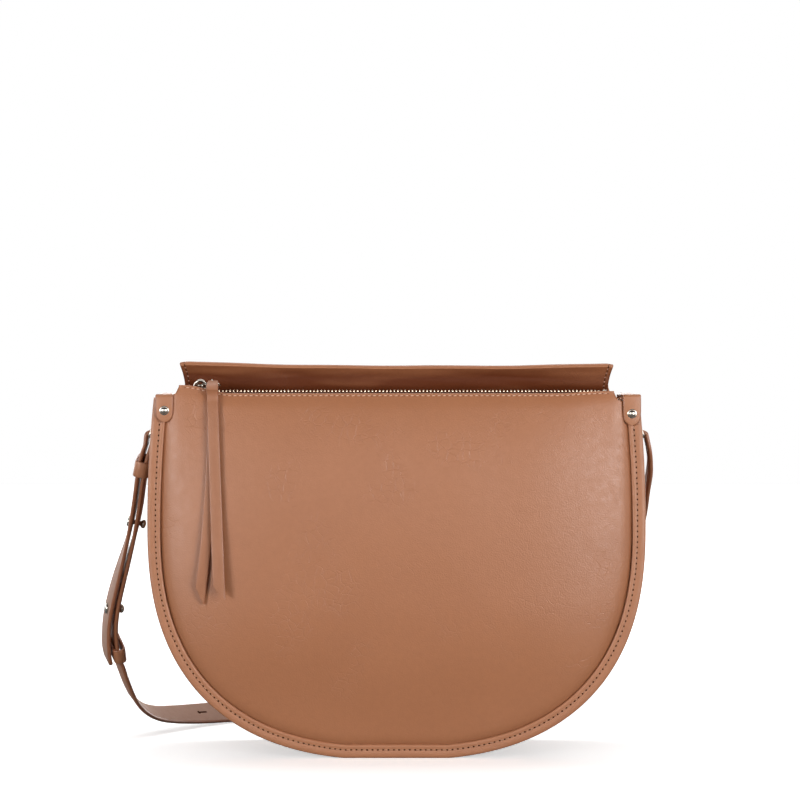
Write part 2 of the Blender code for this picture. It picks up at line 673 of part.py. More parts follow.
def curve_through(points, steps):
    """Points along a smooth curve through the given ones."""
    found = []
    last = len(points) - 1
    for i in range(last):
        p0, p1, p2, p3 = (Vector(points[max(min(j, last), 0)]) for j in (i - 1, i, i + 1, i + 2))
        for k in range(steps):
            t = k / steps
            found.append(0.5 * (2 * p1 + (p2 - p0) * t + (2 * p0 - 5 * p1 + 4 * p2 - p3) * t * t
                                + (3 * p1 - p0 - 3 * p2 + p3) * t ** 3))
    return found + [Vector(points[last])]


def turn_at(place):
    """How far the strap is turned about its own line at a point of its run."""
    start, whole, end, gone = STRAP_TURN_RAMP
    return STRAP_TURN * ease((place - start) / (whole - start)) * (1 - ease((place - end) / (gone - end)))


def width_at(points, i, tilt, turn=0):
    """Unit vector across the strap at a point of its path, and the way along it."""
    along = (points[min(i + 1, len(points) - 1)] - points[max(i - 1, 0)]).normalized()
    lean = Vector((0, math.cos(tilt), math.sin(tilt)))
    across = (lean - along * lean.dot(along)).normalized()
    side = along.cross(across)
    if side.x > 0:
        side = -side
    return (across * math.cos(turn) + side * math.sin(turn)).normalized(), along


def fold_over(sign, steps=6):
    """The strap's half turn over a ring's lower bar, from its outer side to its inner side."""
    radius = RING_WIRE + GAP + LAYER
    return [Vector((sign * RING_LOW_X + sign * radius * math.cos(math.pi * i / steps), PIVOT_DEPTH,
                    RING_LOW_Z + radius * math.sin(math.pi * i / steps))) for i in range(steps + 1)]


def strap_path():
    """The strap's centre line and the tilt at each point, and how many points the tail and fold have."""
    run = curve_through(STRAP_RUN, RUN_STEPS)
    tail = []
    for i, gap in enumerate(TAIL_RUN_GAP):
        across, along = width_at([Vector(p) for p in STRAP_RUN], i, 0, turn_at(i))
        out = along.cross(across)
        if out.x > 0:
            out = -out
        tail.append(Vector(STRAP_RUN[i]) + out * (STRAP_THICK + gap))
    tail = curve_through([tuple(p) for p in reversed(tail)], RUN_STEPS)[1:]
    path = tail + fold_over(-1) + run + fold_over(1) + [Vector(STRAP_END_RUN)]
    first = len(tail) + 7
    tilts, turns = [], []
    for i in range(len(path)):
        place = (i - first) / RUN_STEPS
        rise = ease((place - TILTED_FROM + 3) / 4) * ease((TILTED_TO + 5 - place) / 5)
        tilts.append(STRAP_TILT * rise if place > 0 else 0)
        turns.append(turn_at(place if i >= first else (len(tail) - 1 - i) / RUN_STEPS))
    return path, tilts, turns, len(tail), first


def make_strap(leather, metal, home, cutters):
    """The strap, folded over the left ring and buttoned back on itself with two studs."""
    path, tilts, turns, tail_count, first = strap_path()

    def place(across, along):
        i = round(along * (len(path) - 1))
        wide, _ = width_at(path, i, tilts[i], turns[i])
        half = STRAP_WIDTH / 2 * (0.72 if i == 0 else 1)
        return path[i] + wide * lerp(-half, half, across)

    strap = sheet("shoulder_strap", 2, len(path) - 1, place, STRAP_THICK, leather, home)
    for name, index in (("upper", 3.5), ("lower", 6.5)):
        inner = path[first + math.floor(index * RUN_STEPS)]
        outer = path[tail_count - 1 - math.floor(index * RUN_STEPS)]
        axis = (inner - outer).normalized()
        middle = (inner + outer) / 2
        span = (inner - outer).length + STRAP_THICK
        cut(strap, cutter_rod(f"{name}_stud_hole", middle, axis, HOLE_RADIUS, span * 2, cutters))
        face = span / 2 + GAP
        profile = [(0, face + STUD_NECK + 2 * STUD_RISE)]
        for i in range(1, 7):
            angle = math.pi * i / 8
            profile.append((STUD_BALL * math.sin(angle), face + STUD_NECK + STUD_RISE * (1 + math.cos(angle))))
        profile += [(STUD_POST, face + STUD_NECK), (STUD_POST, -face), (STUD_CAP, -face),
                    (STUD_CAP, -face - STUD_CAP_THICK / 2), (STUD_CAP * 0.7, -face - STUD_CAP_THICK),
                    (0, -face - STUD_CAP_THICK)]
        stud = turned(f"{name}_stud", profile, metal, home, steps=12)
        put(stud, middle, x_axis=(0, 1, 0), z_axis=axis)
    spare = first + math.floor(SPARE_HOLE * RUN_STEPS)
    wide, along = width_at(path, spare, tilts[spare])
    cut(strap, cutter_rod("spare_hole", path[spare], wide.cross(along), HOLE_RADIUS, STRAP_WIDTH, cutters))
    return path, tail_count, first


def make_keepers(path, tail_count, first, leather, home):
    """The two loops that hold the strap's tail against its run."""
    for name, index, play in (("upper", 1.5, KEEPER_PLAY), ("lower", 8, 3 * KEEPER_PLAY)):
        low = first + math.floor(index * RUN_STEPS)
        inner = path[low]
        outer = path[tail_count - 1 - math.floor(index * RUN_STEPS)]
        along = (path[low - 1] - path[low + 1]).normalized()
        middle = (inner + outer) / 2
        wide = STRAP_WIDTH / 2 + play
        deep = (inner - outer).length / 2 + LAYER + play
        inside = [(deep, wide), (-deep, wide), (-deep, -wide), (deep, -wide)]
        outside = [(math.copysign(abs(x) + KEEPER_WALL, x), math.copysign(abs(y) + KEEPER_WALL, y))
                   for x, y in inside]
        loop = flat_outline(f"{name}_keeper", [outside, inside], KEEPER_HEIGHT, leather, home)
        put(loop, middle, x_axis=(inner - outer), z_axis=along)


def main():
    """Builds the whole bag."""
    clear_scene()
    scene = bpy.context.scene.collection
    home = bpy.data.collections.new("crossbody_bag")
    cutters = bpy.data.collections.new("cutters")
    scene.children.link(home)
    scene.children.link(cutters)
    leather = material("tan_leather", (0.45, 0.24, 0.14), 0.5)
    cloth = material("lining_cloth", (0.30, 0.20, 0.14), 0.9)
    board = material("stiffener_board", (0.25, 0.20, 0.15), 0.9)
    metal = material("nickel", (0.75, 0.73, 0.70), 0.2, 1.0)
    make_shell(leather, cloth, board, home)
    make_zip(cloth, metal, home)
    make_collar(leather, home)
    make_slider(metal, home)
    make_tassel(leather, home)
    for side, sign in (("left", -1), ("right", 1)):
        make_ear(side, sign, leather, metal, home)
        make_anchor(side, sign, leather, metal, home, cutters)
    path, tail_count, first = make_strap(leather, metal, home, cutters)
    make_keepers(path, tail_count, first, leather, home)


main()
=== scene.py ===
"""The looks of a half-moon crossbody bag in smooth tan leather: its puffed panels and stitched
seams, the collar and zip, the ring and leather pull, the riveted ears and the studded strap."""

import math

import bmesh
import bpy
from mathutils import Matrix, Vector, kdtree, noise


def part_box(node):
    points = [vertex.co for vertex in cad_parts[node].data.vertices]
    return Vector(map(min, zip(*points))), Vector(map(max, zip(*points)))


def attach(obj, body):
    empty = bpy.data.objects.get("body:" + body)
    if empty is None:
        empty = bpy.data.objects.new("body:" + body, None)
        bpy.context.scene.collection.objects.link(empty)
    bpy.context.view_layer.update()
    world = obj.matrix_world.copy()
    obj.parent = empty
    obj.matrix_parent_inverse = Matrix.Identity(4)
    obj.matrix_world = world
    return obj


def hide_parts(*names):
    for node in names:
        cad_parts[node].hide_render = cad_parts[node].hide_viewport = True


bl_info = {
    "name": "Half-moon crossbody bag",
    "version": (1, 0, 0),
    "blender": (4, 5, 0),
    "location": "View3D > Sidebar > Bag",
    "description": "Models the leather, seams, zip and strap of a crossbody bag round its frame",
    "category": "Add Mesh",
}

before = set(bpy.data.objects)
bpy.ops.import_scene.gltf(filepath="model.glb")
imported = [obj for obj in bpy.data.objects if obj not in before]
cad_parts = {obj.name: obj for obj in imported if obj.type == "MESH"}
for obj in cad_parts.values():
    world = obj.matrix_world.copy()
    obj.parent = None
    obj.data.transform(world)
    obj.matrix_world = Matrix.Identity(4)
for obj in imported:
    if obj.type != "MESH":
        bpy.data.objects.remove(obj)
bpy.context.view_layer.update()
MM = 0.001

# Places that the frame gives
SEAM_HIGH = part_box("front_seam_binding")[1]
PANEL_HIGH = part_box("front_panel")[1]
TAPE_LOW, TAPE_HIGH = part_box("zip_tape_front")
TAPE_BACK_LOW, TAPE_BACK_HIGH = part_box("zip_tape_back")
TEETH_LOW, TEETH_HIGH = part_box("zip_teeth_front")
TEETH_BACK_LOW, TEETH_BACK_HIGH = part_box("zip_teeth_back")
SLIDER_LOW, SLIDER_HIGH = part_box("slider_body")
EAR_LOW, EAR_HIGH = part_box("right_ear")
RIVET_LOW, RIVET_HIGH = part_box("right_ear_rivet")

# The bag's outline, seen from the front, in metres
HALF_WIDTH = SEAM_HIGH.x
SEAM_TOP = SEAM_HIGH.z
CURVE_HEIGHT = 0.1428
CURVE_POWER = 2.5
REST_SINK = 0.0012
FRONT_TAPER = 0.0039
BACK_TAPER = 0.009
BASE_DEPTH = 0.084
TOP_DEPTH = 0.030
LEAN_START = 0.040
BACK_TOP = 0.2375
BINDING_WIDTH = 0.0084
BINDING_THICK = 0.0040
LEATHER = 0.0018
PANEL_INSET = BINDING_WIDTH + 2 * 0.0003
SKIN_INSET = BINDING_WIDTH + 0.0001
CURVE_STEPS = 64
SIDE_STEPS = 24


def lerp(a, b, share):
    """A value between a and b."""
    return a + (b - a) * share


def held(value, low=0.0, high=1.0):
    """The value, kept between low and high."""
    return min(max(value, low), high)


def ease(share):
    """Runs from 0 to 1 with soft ends."""
    part = held(share)
    return part * part * (3 - 2 * part)


def back_depth(z):
    """Where the back stands at a height: it leans forward towards the top."""
    share = held((z - LEAN_START) / (BACK_TOP - LEAN_START))
    return TOP_DEPTH + (BASE_DEPTH - TOP_DEPTH) * (1 + math.cos(math.pi * share)) / 2


def half_outline(taper):
    """The right half of the bag's outline, from the top of the seam to the middle of the base."""
    centre = CURVE_HEIGHT - REST_SINK
    points = []
    for i in range(SIDE_STEPS):
        share = 1 - i / SIDE_STEPS
        points.append((HALF_WIDTH - taper * share * share, lerp(centre, SEAM_TOP, share)))
    last = math.asin((centre / CURVE_HEIGHT) ** (CURVE_POWER / 2))
    for i in range(CURVE_STEPS + 1):
        angle = last * i / CURVE_STEPS
        x = HALF_WIDTH * math.cos(angle) ** (2 / CURVE_POWER)
        z = centre - CURVE_HEIGHT * math.sin(angle) ** (2 / CURVE_POWER)
        points.append((x, max(z, 0)))
    flat = points[-1][0]
    points += [(flat * (1 - i / SIDE_STEPS), 0) for i in range(1, SIDE_STEPS + 1)]
    return points


def spaced(points, count):
    """The same line in count equal steps along its length."""
    lengths = [0]
    for a, b in zip(points, points[1:]):
        lengths.append(lengths[-1] + (Vector(b) - Vector(a)).length)
    found, k = [], 0
    for i in range(count + 1):
        want = lengths[-1] * i / count
        while k < len(points) - 2 and lengths[k + 1] < want:
            k += 1
        share = (want - lengths[k]) / max(lengths[k + 1] - lengths[k], 1e-9)
        found.append(Vector(points[k]).lerp(Vector(points[k + 1]), held(share)))
    return found


def drawn_in(points, inset):
    """A half outline drawn in by inset, square to its own line."""
    found = []
    for i, (x, z) in enumerate(points):
        before, after = points[max(i - 2, 0)], points[min(i + 2, len(points) - 1)]
        along = Vector((after[0] - before[0], after[1] - before[1])).normalized()
        if x == 0:
            along = Vector((-1, 0))
        found.append((max(x + along.y * inset, 0), z - along.x * inset))
    return found


def whole_outline(taper, inset, count):
    """The outline from the top left, round the base, to the top right, in count equal steps."""
    right = drawn_in(half_outline(taper), inset)
    left = [(-x, z) for x, z in right]
    return spaced(left[:-1] + right[::-1], count)


def at(points, share):
    """The point of a list at a share of its length."""
    place = held(share) * (len(points) - 1)
    low = min(int(place), len(points) - 2)
    return points[low].lerp(points[low + 1], place - low)


# Finishes

def new_group(name, inputs, outputs):
    """A shader node group with its sockets; returns it with its input and output nodes."""
    group = bpy.data.node_groups.new(name, "ShaderNodeTree")
    for label, kind, value in inputs:
        socket = group.interface.new_socket(label, in_out="INPUT", socket_type=kind)
        socket.default_value = value
    for label, kind in outputs:
        group.interface.new_socket(label, in_out="OUTPUT", socket_type=kind)
    return group, group.nodes.new("NodeGroupInput"), group.nodes.new("NodeGroupOutput")


def node(tree, kind, **values):
    """A node, with its properties or the sockets of that name set."""
    made = tree.nodes.new("ShaderNode" + kind)
    for key, value in values.items():
        if hasattr(made, key):
            setattr(made, key, value)
        else:
            made.inputs[key.replace("_", " ").capitalize()].default_value = value
    return made


def math_node(tree, operation, a, b=None):
    """A Math node; a and b are sockets or numbers."""
    made = tree.nodes.new("ShaderNodeMath")
    made.operation = operation
    for socket, value in zip(made.inputs, (a, b)):
        if value is None:
            continue
        if isinstance(value, (int, float)):
            socket.default_value = value
        else:
            tree.links.new(value, socket)
    return made.outputs[0]


def mix_colour(tree, share, a, b):
    """A colour Mix node; its inputs are sockets or values."""
    made = tree.nodes.new("ShaderNodeMix")
    made.data_type = "RGBA"
    for socket, value in ((made.inputs[0], share), (made.inputs[6], a), (made.inputs[7], b)):
        if isinstance(value, bpy.types.NodeSocket):
            tree.links.new(value, socket)
        else:
            socket.default_value = value if isinstance(value, (int, float)) else (*value[:3], 1)
    return made.outputs[2]


def noise_at(tree, vector, scale, detail=2.0, roughness=0.5):
    """A noise texture on a vector, in cells a metre; returns its value."""
    made = node(tree, "TexNoise")
    made.inputs["Scale"].default_value = scale
    made.inputs["Detail"].default_value = detail
    made.inputs["Roughness"].default_value = roughness
    tree.links.new(vector, made.inputs["Vector"])
    return made.outputs["Fac"]


def spread(tree, value, low, high, to_low, to_high):
    """A Map Range node."""
    made = node(tree, "MapRange")
    tree.links.new(value, made.inputs["Value"])
    for label, number in zip(("From Min", "From Max", "To Min", "To Max"), (low, high, to_low, to_high)):
        made.inputs[label].default_value = number
    return made.outputs["Result"]


def leather_group():
    """Smooth leather: a soft uneven tone, a fine pebble and a few creases, with painted shade in the pebble's
    hollows and the creases.
    """
    group, given, made = new_group(
        "Smooth leather",
        [("Colour", "NodeSocketColor", (0.4, 0.2, 0.1, 1)),
         ("Deep colour", "NodeSocketColor", (0.3, 0.1, 0.05, 1)),
         ("Roughness", "NodeSocketFloat", 0.45), ("Grain", "NodeSocketFloat", 1300.0)],
        [("Colour", "NodeSocketColor"), ("Roughness", "NodeSocketFloat"), ("Height", "NodeSocketFloat")])
    place = node(group, "TexCoord").outputs["Object"]
    cells = node(group, "TexVoronoi", feature="SMOOTH_F1")
    cells.inputs["Smoothness"].default_value = 0.4
    group.links.new(place, cells.inputs["Vector"])
    group.links.new(given.outputs["Grain"], cells.inputs["Scale"])
    pebble = cells.outputs["Distance"]
    cloud = noise_at(group, place, 22, 3)
    mottle = noise_at(group, place, 260, 3, 0.6)
    crease = node(group, "TexVoronoi", feature="DISTANCE_TO_EDGE")
    bent = node(group, "VectorMath", operation="ADD")
    drift = node(group, "TexNoise")
    drift.inputs["Scale"].default_value = 60
    group.links.new(place, drift.inputs["Vector"])
    group.links.new(place, bent.inputs[0])
    shift = node(group, "VectorMath", operation="SCALE")
    shift.inputs["Scale"].default_value = 0.012
    group.links.new(drift.outputs["Color"], shift.inputs[0])
    group.links.new(shift.outputs[0], bent.inputs[1])
    group.links.new(bent.outputs[0], crease.inputs["Vector"])
    crease.inputs["Scale"].default_value = 190
    line = spread(group, crease.outputs["Distance"], 0.0, 0.05, 1.0, 0.0)
    sparse = spread(group, noise_at(group, place, 30, 1), 0.52, 0.66, 0.0, 1.0)
    line = math_node(group, "MULTIPLY", line, sparse)
    tone = math_node(group, "ADD", spread(group, cloud, 0.3, 0.7, 0.0, 0.34),
                     spread(group, mottle, 0.3, 0.7, 0.0, 0.30))
    # Painted shade: the pebble's low centres take the deeper colour.
    tone = math_node(group, "ADD", tone, spread(group, pebble, 0.1, 0.6, 0.10, 0.0))
    # Painted shade: the creases darken the colour as well as the relief.
    tone = math_node(group, "ADD", tone, math_node(group, "MULTIPLY", line, 0.22))
    group.links.new(mix_colour(group, tone, given.outputs["Colour"], given.outputs["Deep colour"]),
                    made.inputs["Colour"])
    rough = math_node(group, "ADD", given.outputs["Roughness"], spread(group, mottle, 0.3, 0.7, -0.05, 0.06))
    group.links.new(rough, made.inputs["Roughness"])
    height = math_node(group, "ADD", math_node(group, "MULTIPLY", pebble, 0.5),
                       math_node(group, "MULTIPLY", mottle, 0.5))
    height = math_node(group, "SUBTRACT", height, math_node(group, "MULTIPLY", line, 0.6))
    group.links.new(height, made.inputs["Height"])
    return group


def weave_group():
    """A plain weave: crossed threads and a little slub, its lower threads darkened as painted shade."""
    group, given, made = new_group(
        "Plain weave",
        [("Colour", "NodeSocketColor", (0.3, 0.2, 0.1, 1)),
         ("Deep colour", "NodeSocketColor", (0.1, 0.06, 0.04, 1)),
         ("Threads", "NodeSocketFloat", 1800.0)],
        [("Colour", "NodeSocketColor"), ("Height", "NodeSocketFloat")])
    place = node(group, "TexCoord").outputs["Object"]
    parts = node(group, "SeparateXYZ")
    group.links.new(place, parts.inputs[0])
    across = math_node(group, "MULTIPLY", parts.outputs["X"], given.outputs["Threads"])
    rise = math_node(group, "ADD", parts.outputs["Y"], parts.outputs["Z"])
    along = math_node(group, "MULTIPLY", rise, given.outputs["Threads"])
    over = math_node(group, "MULTIPLY", math_node(group, "SINE", across), math_node(group, "SINE", along))
    slub = noise_at(group, place, 900, 2)
    height = math_node(group, "ADD", spread(group, over, -1, 1, 0, 1),
                       math_node(group, "MULTIPLY", slub, 0.5))
    # Painted shade: the lower threads take the deep colour.
    low = spread(group, height, 0.3, 1.3, 1, 0)
    group.links.new(mix_colour(group, low, given.outputs["Colour"], given.outputs["Deep colour"]),
                    made.inputs["Colour"])
    group.links.new(height, made.inputs["Height"])
    return group


def metal_group():
    """Plated metal: a faint uneven tone, and a few soft scuffs."""
    group, given, made = new_group(
        "Plated metal",
        [("Colour", "NodeSocketColor", (0.8, 0.78, 0.74, 1)),
         ("Dull colour", "NodeSocketColor", (0.5, 0.48, 0.45, 1)),
         ("Roughness", "NodeSocketFloat", 0.14)],
        [("Colour", "NodeSocketColor"), ("Roughness", "NodeSocketFloat"), ("Height", "NodeSocketFloat")])
    place = node(group, "TexCoord").outputs["Object"]
    cloud = noise_at(group, place, 350, 3)
    scuff = noise_at(group, place, 2600, 4, 0.7)
    dull = spread(group, cloud, 0.35, 0.75, 0, 0.6)
    group.links.new(mix_colour(group, dull, given.outputs["Colour"], given.outputs["Dull colour"]),
                    made.inputs["Colour"])
    rough = math_node(group, "ADD", given.outputs["Roughness"], spread(group, scuff, 0.45, 0.75, 0, 0.16))
    group.links.new(rough, made.inputs["Roughness"])
    group.links.new(scuff, made.inputs["Height"])
    return group


GROUPS = {}
LOOKS = {}


def grouped(tree, build, values):
    """Places a shared node group in a material, with its own values."""
    if build not in GROUPS:
        GROUPS[build] = build()
    placed = tree.nodes.new("ShaderNodeGroup")
    placed.node_tree = GROUPS[build]
    for label, value in values.items():
        placed.inputs[label].default_value = (*value[:3], 1) if hasattr(value, "__len__") else value
    return placed


def finish_with(name, build, values, relief, **sockets):
    """A material whose colour, roughness and relief come from a node group; relief is in metres."""
    made = bpy.data.materials.new(name)
    made.use_nodes = True
    tree = made.node_tree
    shader = tree.nodes["Principled BSDF"]
    placed = grouped(tree, build, values)
    tree.links.new(placed.outputs["Colour"], shader.inputs["Base Color"])
    if "Roughness" in placed.outputs:
        tree.links.new(placed.outputs["Roughness"], shader.inputs["Roughness"])
    bump = node(tree, "Bump", Distance=relief, Strength=1.0)
    tree.links.new(placed.outputs["Height"], bump.inputs["Height"])
    tree.links.new(bump.outputs["Normal"], shader.inputs["Normal"])
    for label, value in sockets.items():
        shader.inputs[label.replace("_", " ")].default_value = value
    return made


def deeper(colour, share):
    """The colour, darkened towards a deeper and redder one."""
    return (colour[0] * (1 - 0.85 * share), colour[1] * (1 - share), colour[2] * (1 - 1.08 * share))


def leather(name, colour, roughness=0.40, grain=1300.0, relief=0.00013, shine=None):
    """A leather finish of a colour; shine is its specular level where that isn't the usual one."""
    values = {"Colour": colour, "Deep colour": deeper(colour, 0.18), "Roughness": roughness, "Grain": grain}
    made = finish_with(name, leather_group, values, relief)
    if shine is not None:
        made.node_tree.nodes["Principled BSDF"].inputs["Specular IOR Level"].default_value = shine
    return made


def woven(name, colour, depth, threads, relief, roughness):
    """A woven finish of a colour, its lower threads darker by depth: painted shade between the threads."""
    values = {"Colour": colour, "Deep colour": deeper(colour, depth), "Threads": threads}
    return finish_with(name, weave_group, values, relief, Roughness=roughness)


def plated(name, colour):
    """A plated finish of a colour."""
    values = {"Colour": colour, "Dull colour": deeper(colour, 0.3)}
    return finish_with(name, metal_group, values, 0.000004, Metallic=1.0)


def shaded_leather(low, high):
    """The collar's leather, with painted shade: dark at its foot, lighter towards its rim, and slanted
    streaks of painted shade and light in its tone.
    """
    made = leather("Collar leather with painted shade", low, roughness=0.50, shine=0.12)
    tree = made.node_tree
    placed = next(item for item in tree.nodes if item.type == "GROUP")
    place = node(tree, "TexCoord").outputs["Object"]
    turned_to = node(tree, "Mapping")
    turned_to.inputs["Rotation"].default_value = (0, 0.5, 0)
    turned_to.inputs["Scale"].default_value = (11, 11, 80)
    tree.links.new(place, turned_to.inputs["Vector"])
    painted_fold_shade = noise_at(tree, turned_to.outputs["Vector"], 1.0, 2)
    parts = node(tree, "SeparateXYZ")
    tree.links.new(place, parts.inputs[0])
    # Painted shade of the hollow face: darkest at its foot, lighter up to its rim, with slanted streaks of
    # painted fold shade.
    rise = spread(tree, parts.outputs["Z"], 0.2255, 0.2355, 0.0, 0.72)
    share = math_node(tree, "ADD", rise, spread(tree, painted_fold_shade, 0.35, 0.65, -0.34, 0.34))
    for label, foot, rim in (("Colour", low, high), ("Deep colour", deeper(low, 0.2), deeper(high, 0.2))):
        tree.links.new(mix_colour(tree, share, foot, rim), placed.inputs[label])
    return made


# Making pieces

WELD = 0.00002


def mapped(columns, rows, place, paint=None):
    """A grid set in space by place(across, along), both from 0 to 1."""
    bm = bmesh.new()
    bmesh.ops.create_grid(bm, x_segments=columns, y_segments=rows, size=0.5)
    if paint:
        for face in bm.faces:
            centre = face.calc_center_median()
            face.material_index = paint(centre.x + 0.5, centre.y + 0.5)
    for vertex in bm.verts:
        vertex.co = place(vertex.co.x + 0.5, vertex.co.y + 0.5)
    return bm


def rolled(section_at, rows, around, paint=None):
    """A closed skin: a grid whose columns go round the section at each row, welded, its ends filled."""
    rings = {}

    def place(across, along):
        row = round(along * rows)
        if row not in rings:
            rings[row] = section_at(along)
        return rings[row][round(across * around) % around]

    bm = mapped(around, rows, place, paint)
    bmesh.ops.remove_doubles(bm, verts=bm.verts, dist=WELD)
    open_edges = [edge for edge in bm.edges if edge.is_boundary]
    if open_edges:
        bmesh.ops.holes_fill(bm, edges=open_edges, sides=0)
    bmesh.ops.recalc_face_normals(bm, faces=bm.faces)
    return bm


def piece(name, bm, finishes, body, instead=(), sharp=40, wall=None, rim=None, soften=None):
    """Turns a bmesh into a finished piece that rides on a body and stands for CAD nodes."""
    mesh = bpy.data.meshes.new(name)
    bm.to_mesh(mesh)
    bm.free()
    for finish in finishes:
        mesh.materials.append(finish)
    mesh.shade_smooth()
    mesh.set_sharp_from_angle(angle=math.radians(sharp))
    made = bpy.data.objects.new(name, mesh)
    bpy.context.scene.collection.objects.link(made)
    if wall:
        step = made.modifiers.new("wall", "SOLIDIFY")
        step.thickness, step.offset = wall
        if rim is not None:
            step.material_offset_rim = rim
    if soften:
        step = made.modifiers.new("soft edges", "BEVEL")
        step.width = soften
        step.segments = 2
        step.limit_method = "ANGLE"
        step.angle_limit = math.radians(sharp)
    if instead:
        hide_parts(*instead)
    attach(made, body)
    return made


def basis(z_axis, x_axis):
    """A turning matrix whose Z is z_axis and whose X is near x_axis."""
    z = Vector(z_axis).normalized()
    x = Vector(x_axis)
    x = (x - z * x.dot(z)).normalized()
    return Matrix((x, z.cross(x), z)).transposed().to_4x4()


def pebble_at(bm, centre, size, x_axis, z_axis, index=0):
    """A small oval: half sizes along its x, y and z."""
    turn = Matrix.Translation(centre) @ basis(z_axis, x_axis) @ Matrix.Diagonal((*size, 1))
    made = bmesh.ops.create_uvsphere(bm, u_segments=6, v_segments=4, radius=1, matrix=turn)
    for face in {face for vertex in made["verts"] for face in vertex.link_faces}:
        face.material_index = index


STITCH_HALF = 0.00105
STITCH_RADIUS = 0.00034
HOLE_RADIUS = 0.00056
STITCH_CANT = math.radians(7)


def stitches(name, line, outward, pitch, finishes=None):
    """A row of stitches on the bag, a hole between each two; outward(point) is the line's normal."""
    length = sum((b - a).length for a, b in zip(line, line[1:]))
    count = max(round(length / pitch), 1)
    points = spaced(line, 2 * count)
    bm = bmesh.new()
    for i in range(count):
        here = points[2 * i + 1]
        along = (points[2 * i + 2] - points[2 * i]).normalized()
        out = outward(here)
        canted = Matrix.Rotation(STITCH_CANT, 3, out) @ along
        size = (STITCH_HALF, STITCH_RADIUS, STITCH_RADIUS * 0.8)
        pebble_at(bm, here + out * STITCH_RADIUS * 0.25, size, canted, out)
    # The holes between the stitches are flat dark ovals: painted shade in the pricked holes.
    for i in range(count + 1):
        here = points[2 * i]
        near = points[max(2 * i - 1, 0)] - points[min(2 * i + 1, 2 * count)]
        out = outward(here)
        size = (HOLE_RADIUS * 1.15, HOLE_RADIUS, HOLE_RADIUS * 0.22)
        pebble_at(bm, here, size, near, out, index=1)
    return piece(name, bm, finishes or [LOOKS["thread"], LOOKS["hole"]], "bag", (), sharp=80)


def turned(profile, steps, centre, axis, x_axis=(0, 0, 1)):
    """A turned piece: the profile is (radius, height) along the axis, closed where its radius is 0."""
    bm = bmesh.new()
    made = [bm.verts.new((radius, 0, height)) for radius, height in profile]
    edges = [bm.edges.new(pair) for pair in zip(made, made[1:])]
    bmesh.ops.spin(bm, geom=made + edges, cent=(0, 0, 0), axis=(0, 0, 1), angle=2 * math.pi, steps=steps,
                   use_merge=True)
    bmesh.ops.remove_doubles(bm, verts=bm.verts, dist=WELD)
    bmesh.ops.recalc_face_normals(bm, faces=bm.faces)
    bmesh.ops.transform(bm, matrix=Matrix.Translation(centre) @ basis(axis, x_axis), verts=bm.verts)
    return bm


def wire(points, radius, around=10, closed=False, flat=1.0):
    """A round wire along points, thinned by flat in its second direction."""
    count = len(points)
    rows = count if closed else count - 1
    frames = []
    side = None
    for i in range(count):
        before = points[i - 1] if closed or i else points[i]
        after = points[(i + 1) % count] if closed or i < count - 1 else points[i]
        along = (after - before).normalized()
        if side is None:
            side = along.orthogonal().normalized()
        side = (side - along * side.dot(along)).normalized()
        frames.append((side, along.cross(side)))

    def section(along):
        i = round(along * rows) % count
        a, b = frames[i]
        return [points[i] + a * radius * math.cos(2 * math.pi * k / around)
                + b * radius * flat * math.sin(2 * math.pi * k / around) for k in range(around)]

    return rolled(section, rows, around)


def smooth_line(points, steps):
    """Points along a smooth curve through the given ones."""
    found = []
    last = len(points) - 1
    for i in range(last):
        p0, p1, p2, p3 = (Vector(points[held(j, 0, last)]) for j in (i - 1, i, i + 1, i + 2))
        for k in range(steps):
            t = k / steps
            found.append(0.5 * (2 * p1 + (p2 - p0) * t + (2 * p0 - 5 * p1 + 4 * p2 - p3) * t * t
                                + (3 * p1 - p0 - 3 * p2 + p3) * t ** 3))
    return found + [Vector(points[last])]


# Shapes of the leather

PANEL_SIDES = 0.1325
LIP_TOP = 0.2187
LIP_LEFT_RISE = 0.0050
LIP_RIGHT_RISE = 0.0014
LIP_DEPTH = 0.0030
ROLL_RISE = 0.0022
ROLL_WIDTH = 0.0026
BROAD_RISE = 0.0130
LIP_ROUND = 0.0009

PANEL_EDGE = [(PANEL_HIGH.x - 0.0102, PANEL_HIGH.z), (PANEL_SIDES, SEAM_TOP + 0.0005)]
PANEL_EDGE += drawn_in(half_outline(FRONT_TAPER), SKIN_INSET)
PANEL_CORNER = next(i for i, (x, z) in enumerate(PANEL_EDGE) if z <= SKIN_INSET + MM / 100)
SEAM_TREE = kdtree.KDTree(1201)
for spot, corner in enumerate(whole_outline(FRONT_TAPER, SKIN_INSET, 1200)):
    SEAM_TREE.insert((corner.x, corner.y, 0), spot)
SEAM_TREE.balance()


def lip_height(x):
    """Height of the front panel's top edge: it climbs towards the left corner."""
    left = ease((-x - 0.098) / 0.030)
    right = ease((x - 0.095) / 0.030)
    return LIP_TOP + LIP_LEFT_RISE * left + LIP_RIGHT_RISE * right


def panel_rise(x, z):
    """How far the front panel swells out in front of the seam."""
    gone = SEAM_TREE.find((x, z, 0))[2]
    roll = ROLL_RISE * (1 - math.exp(-gone / ROLL_WIDTH))
    height = held((z - PANEL_INSET) / (LIP_TOP - PANEL_INSET))
    belly = math.sin(math.pi * height ** 0.8) if height < 0.42 else 1 - ((height - 0.42) / 0.58) ** 3.2
    broad = BROAD_RISE * belly * (1 - math.exp(-gone / 0.036))
    wave = 0.0005 * noise.noise(Vector((x * 14, z * 14, 3.0))) * ease(gone / 0.03)
    sag = 0.0006 * noise.noise(Vector((x * 30, z * 9, 8.0))) * ease(gone / 0.02) * ease((z - 0.12) / 0.09)
    return roll + broad + wave + sag


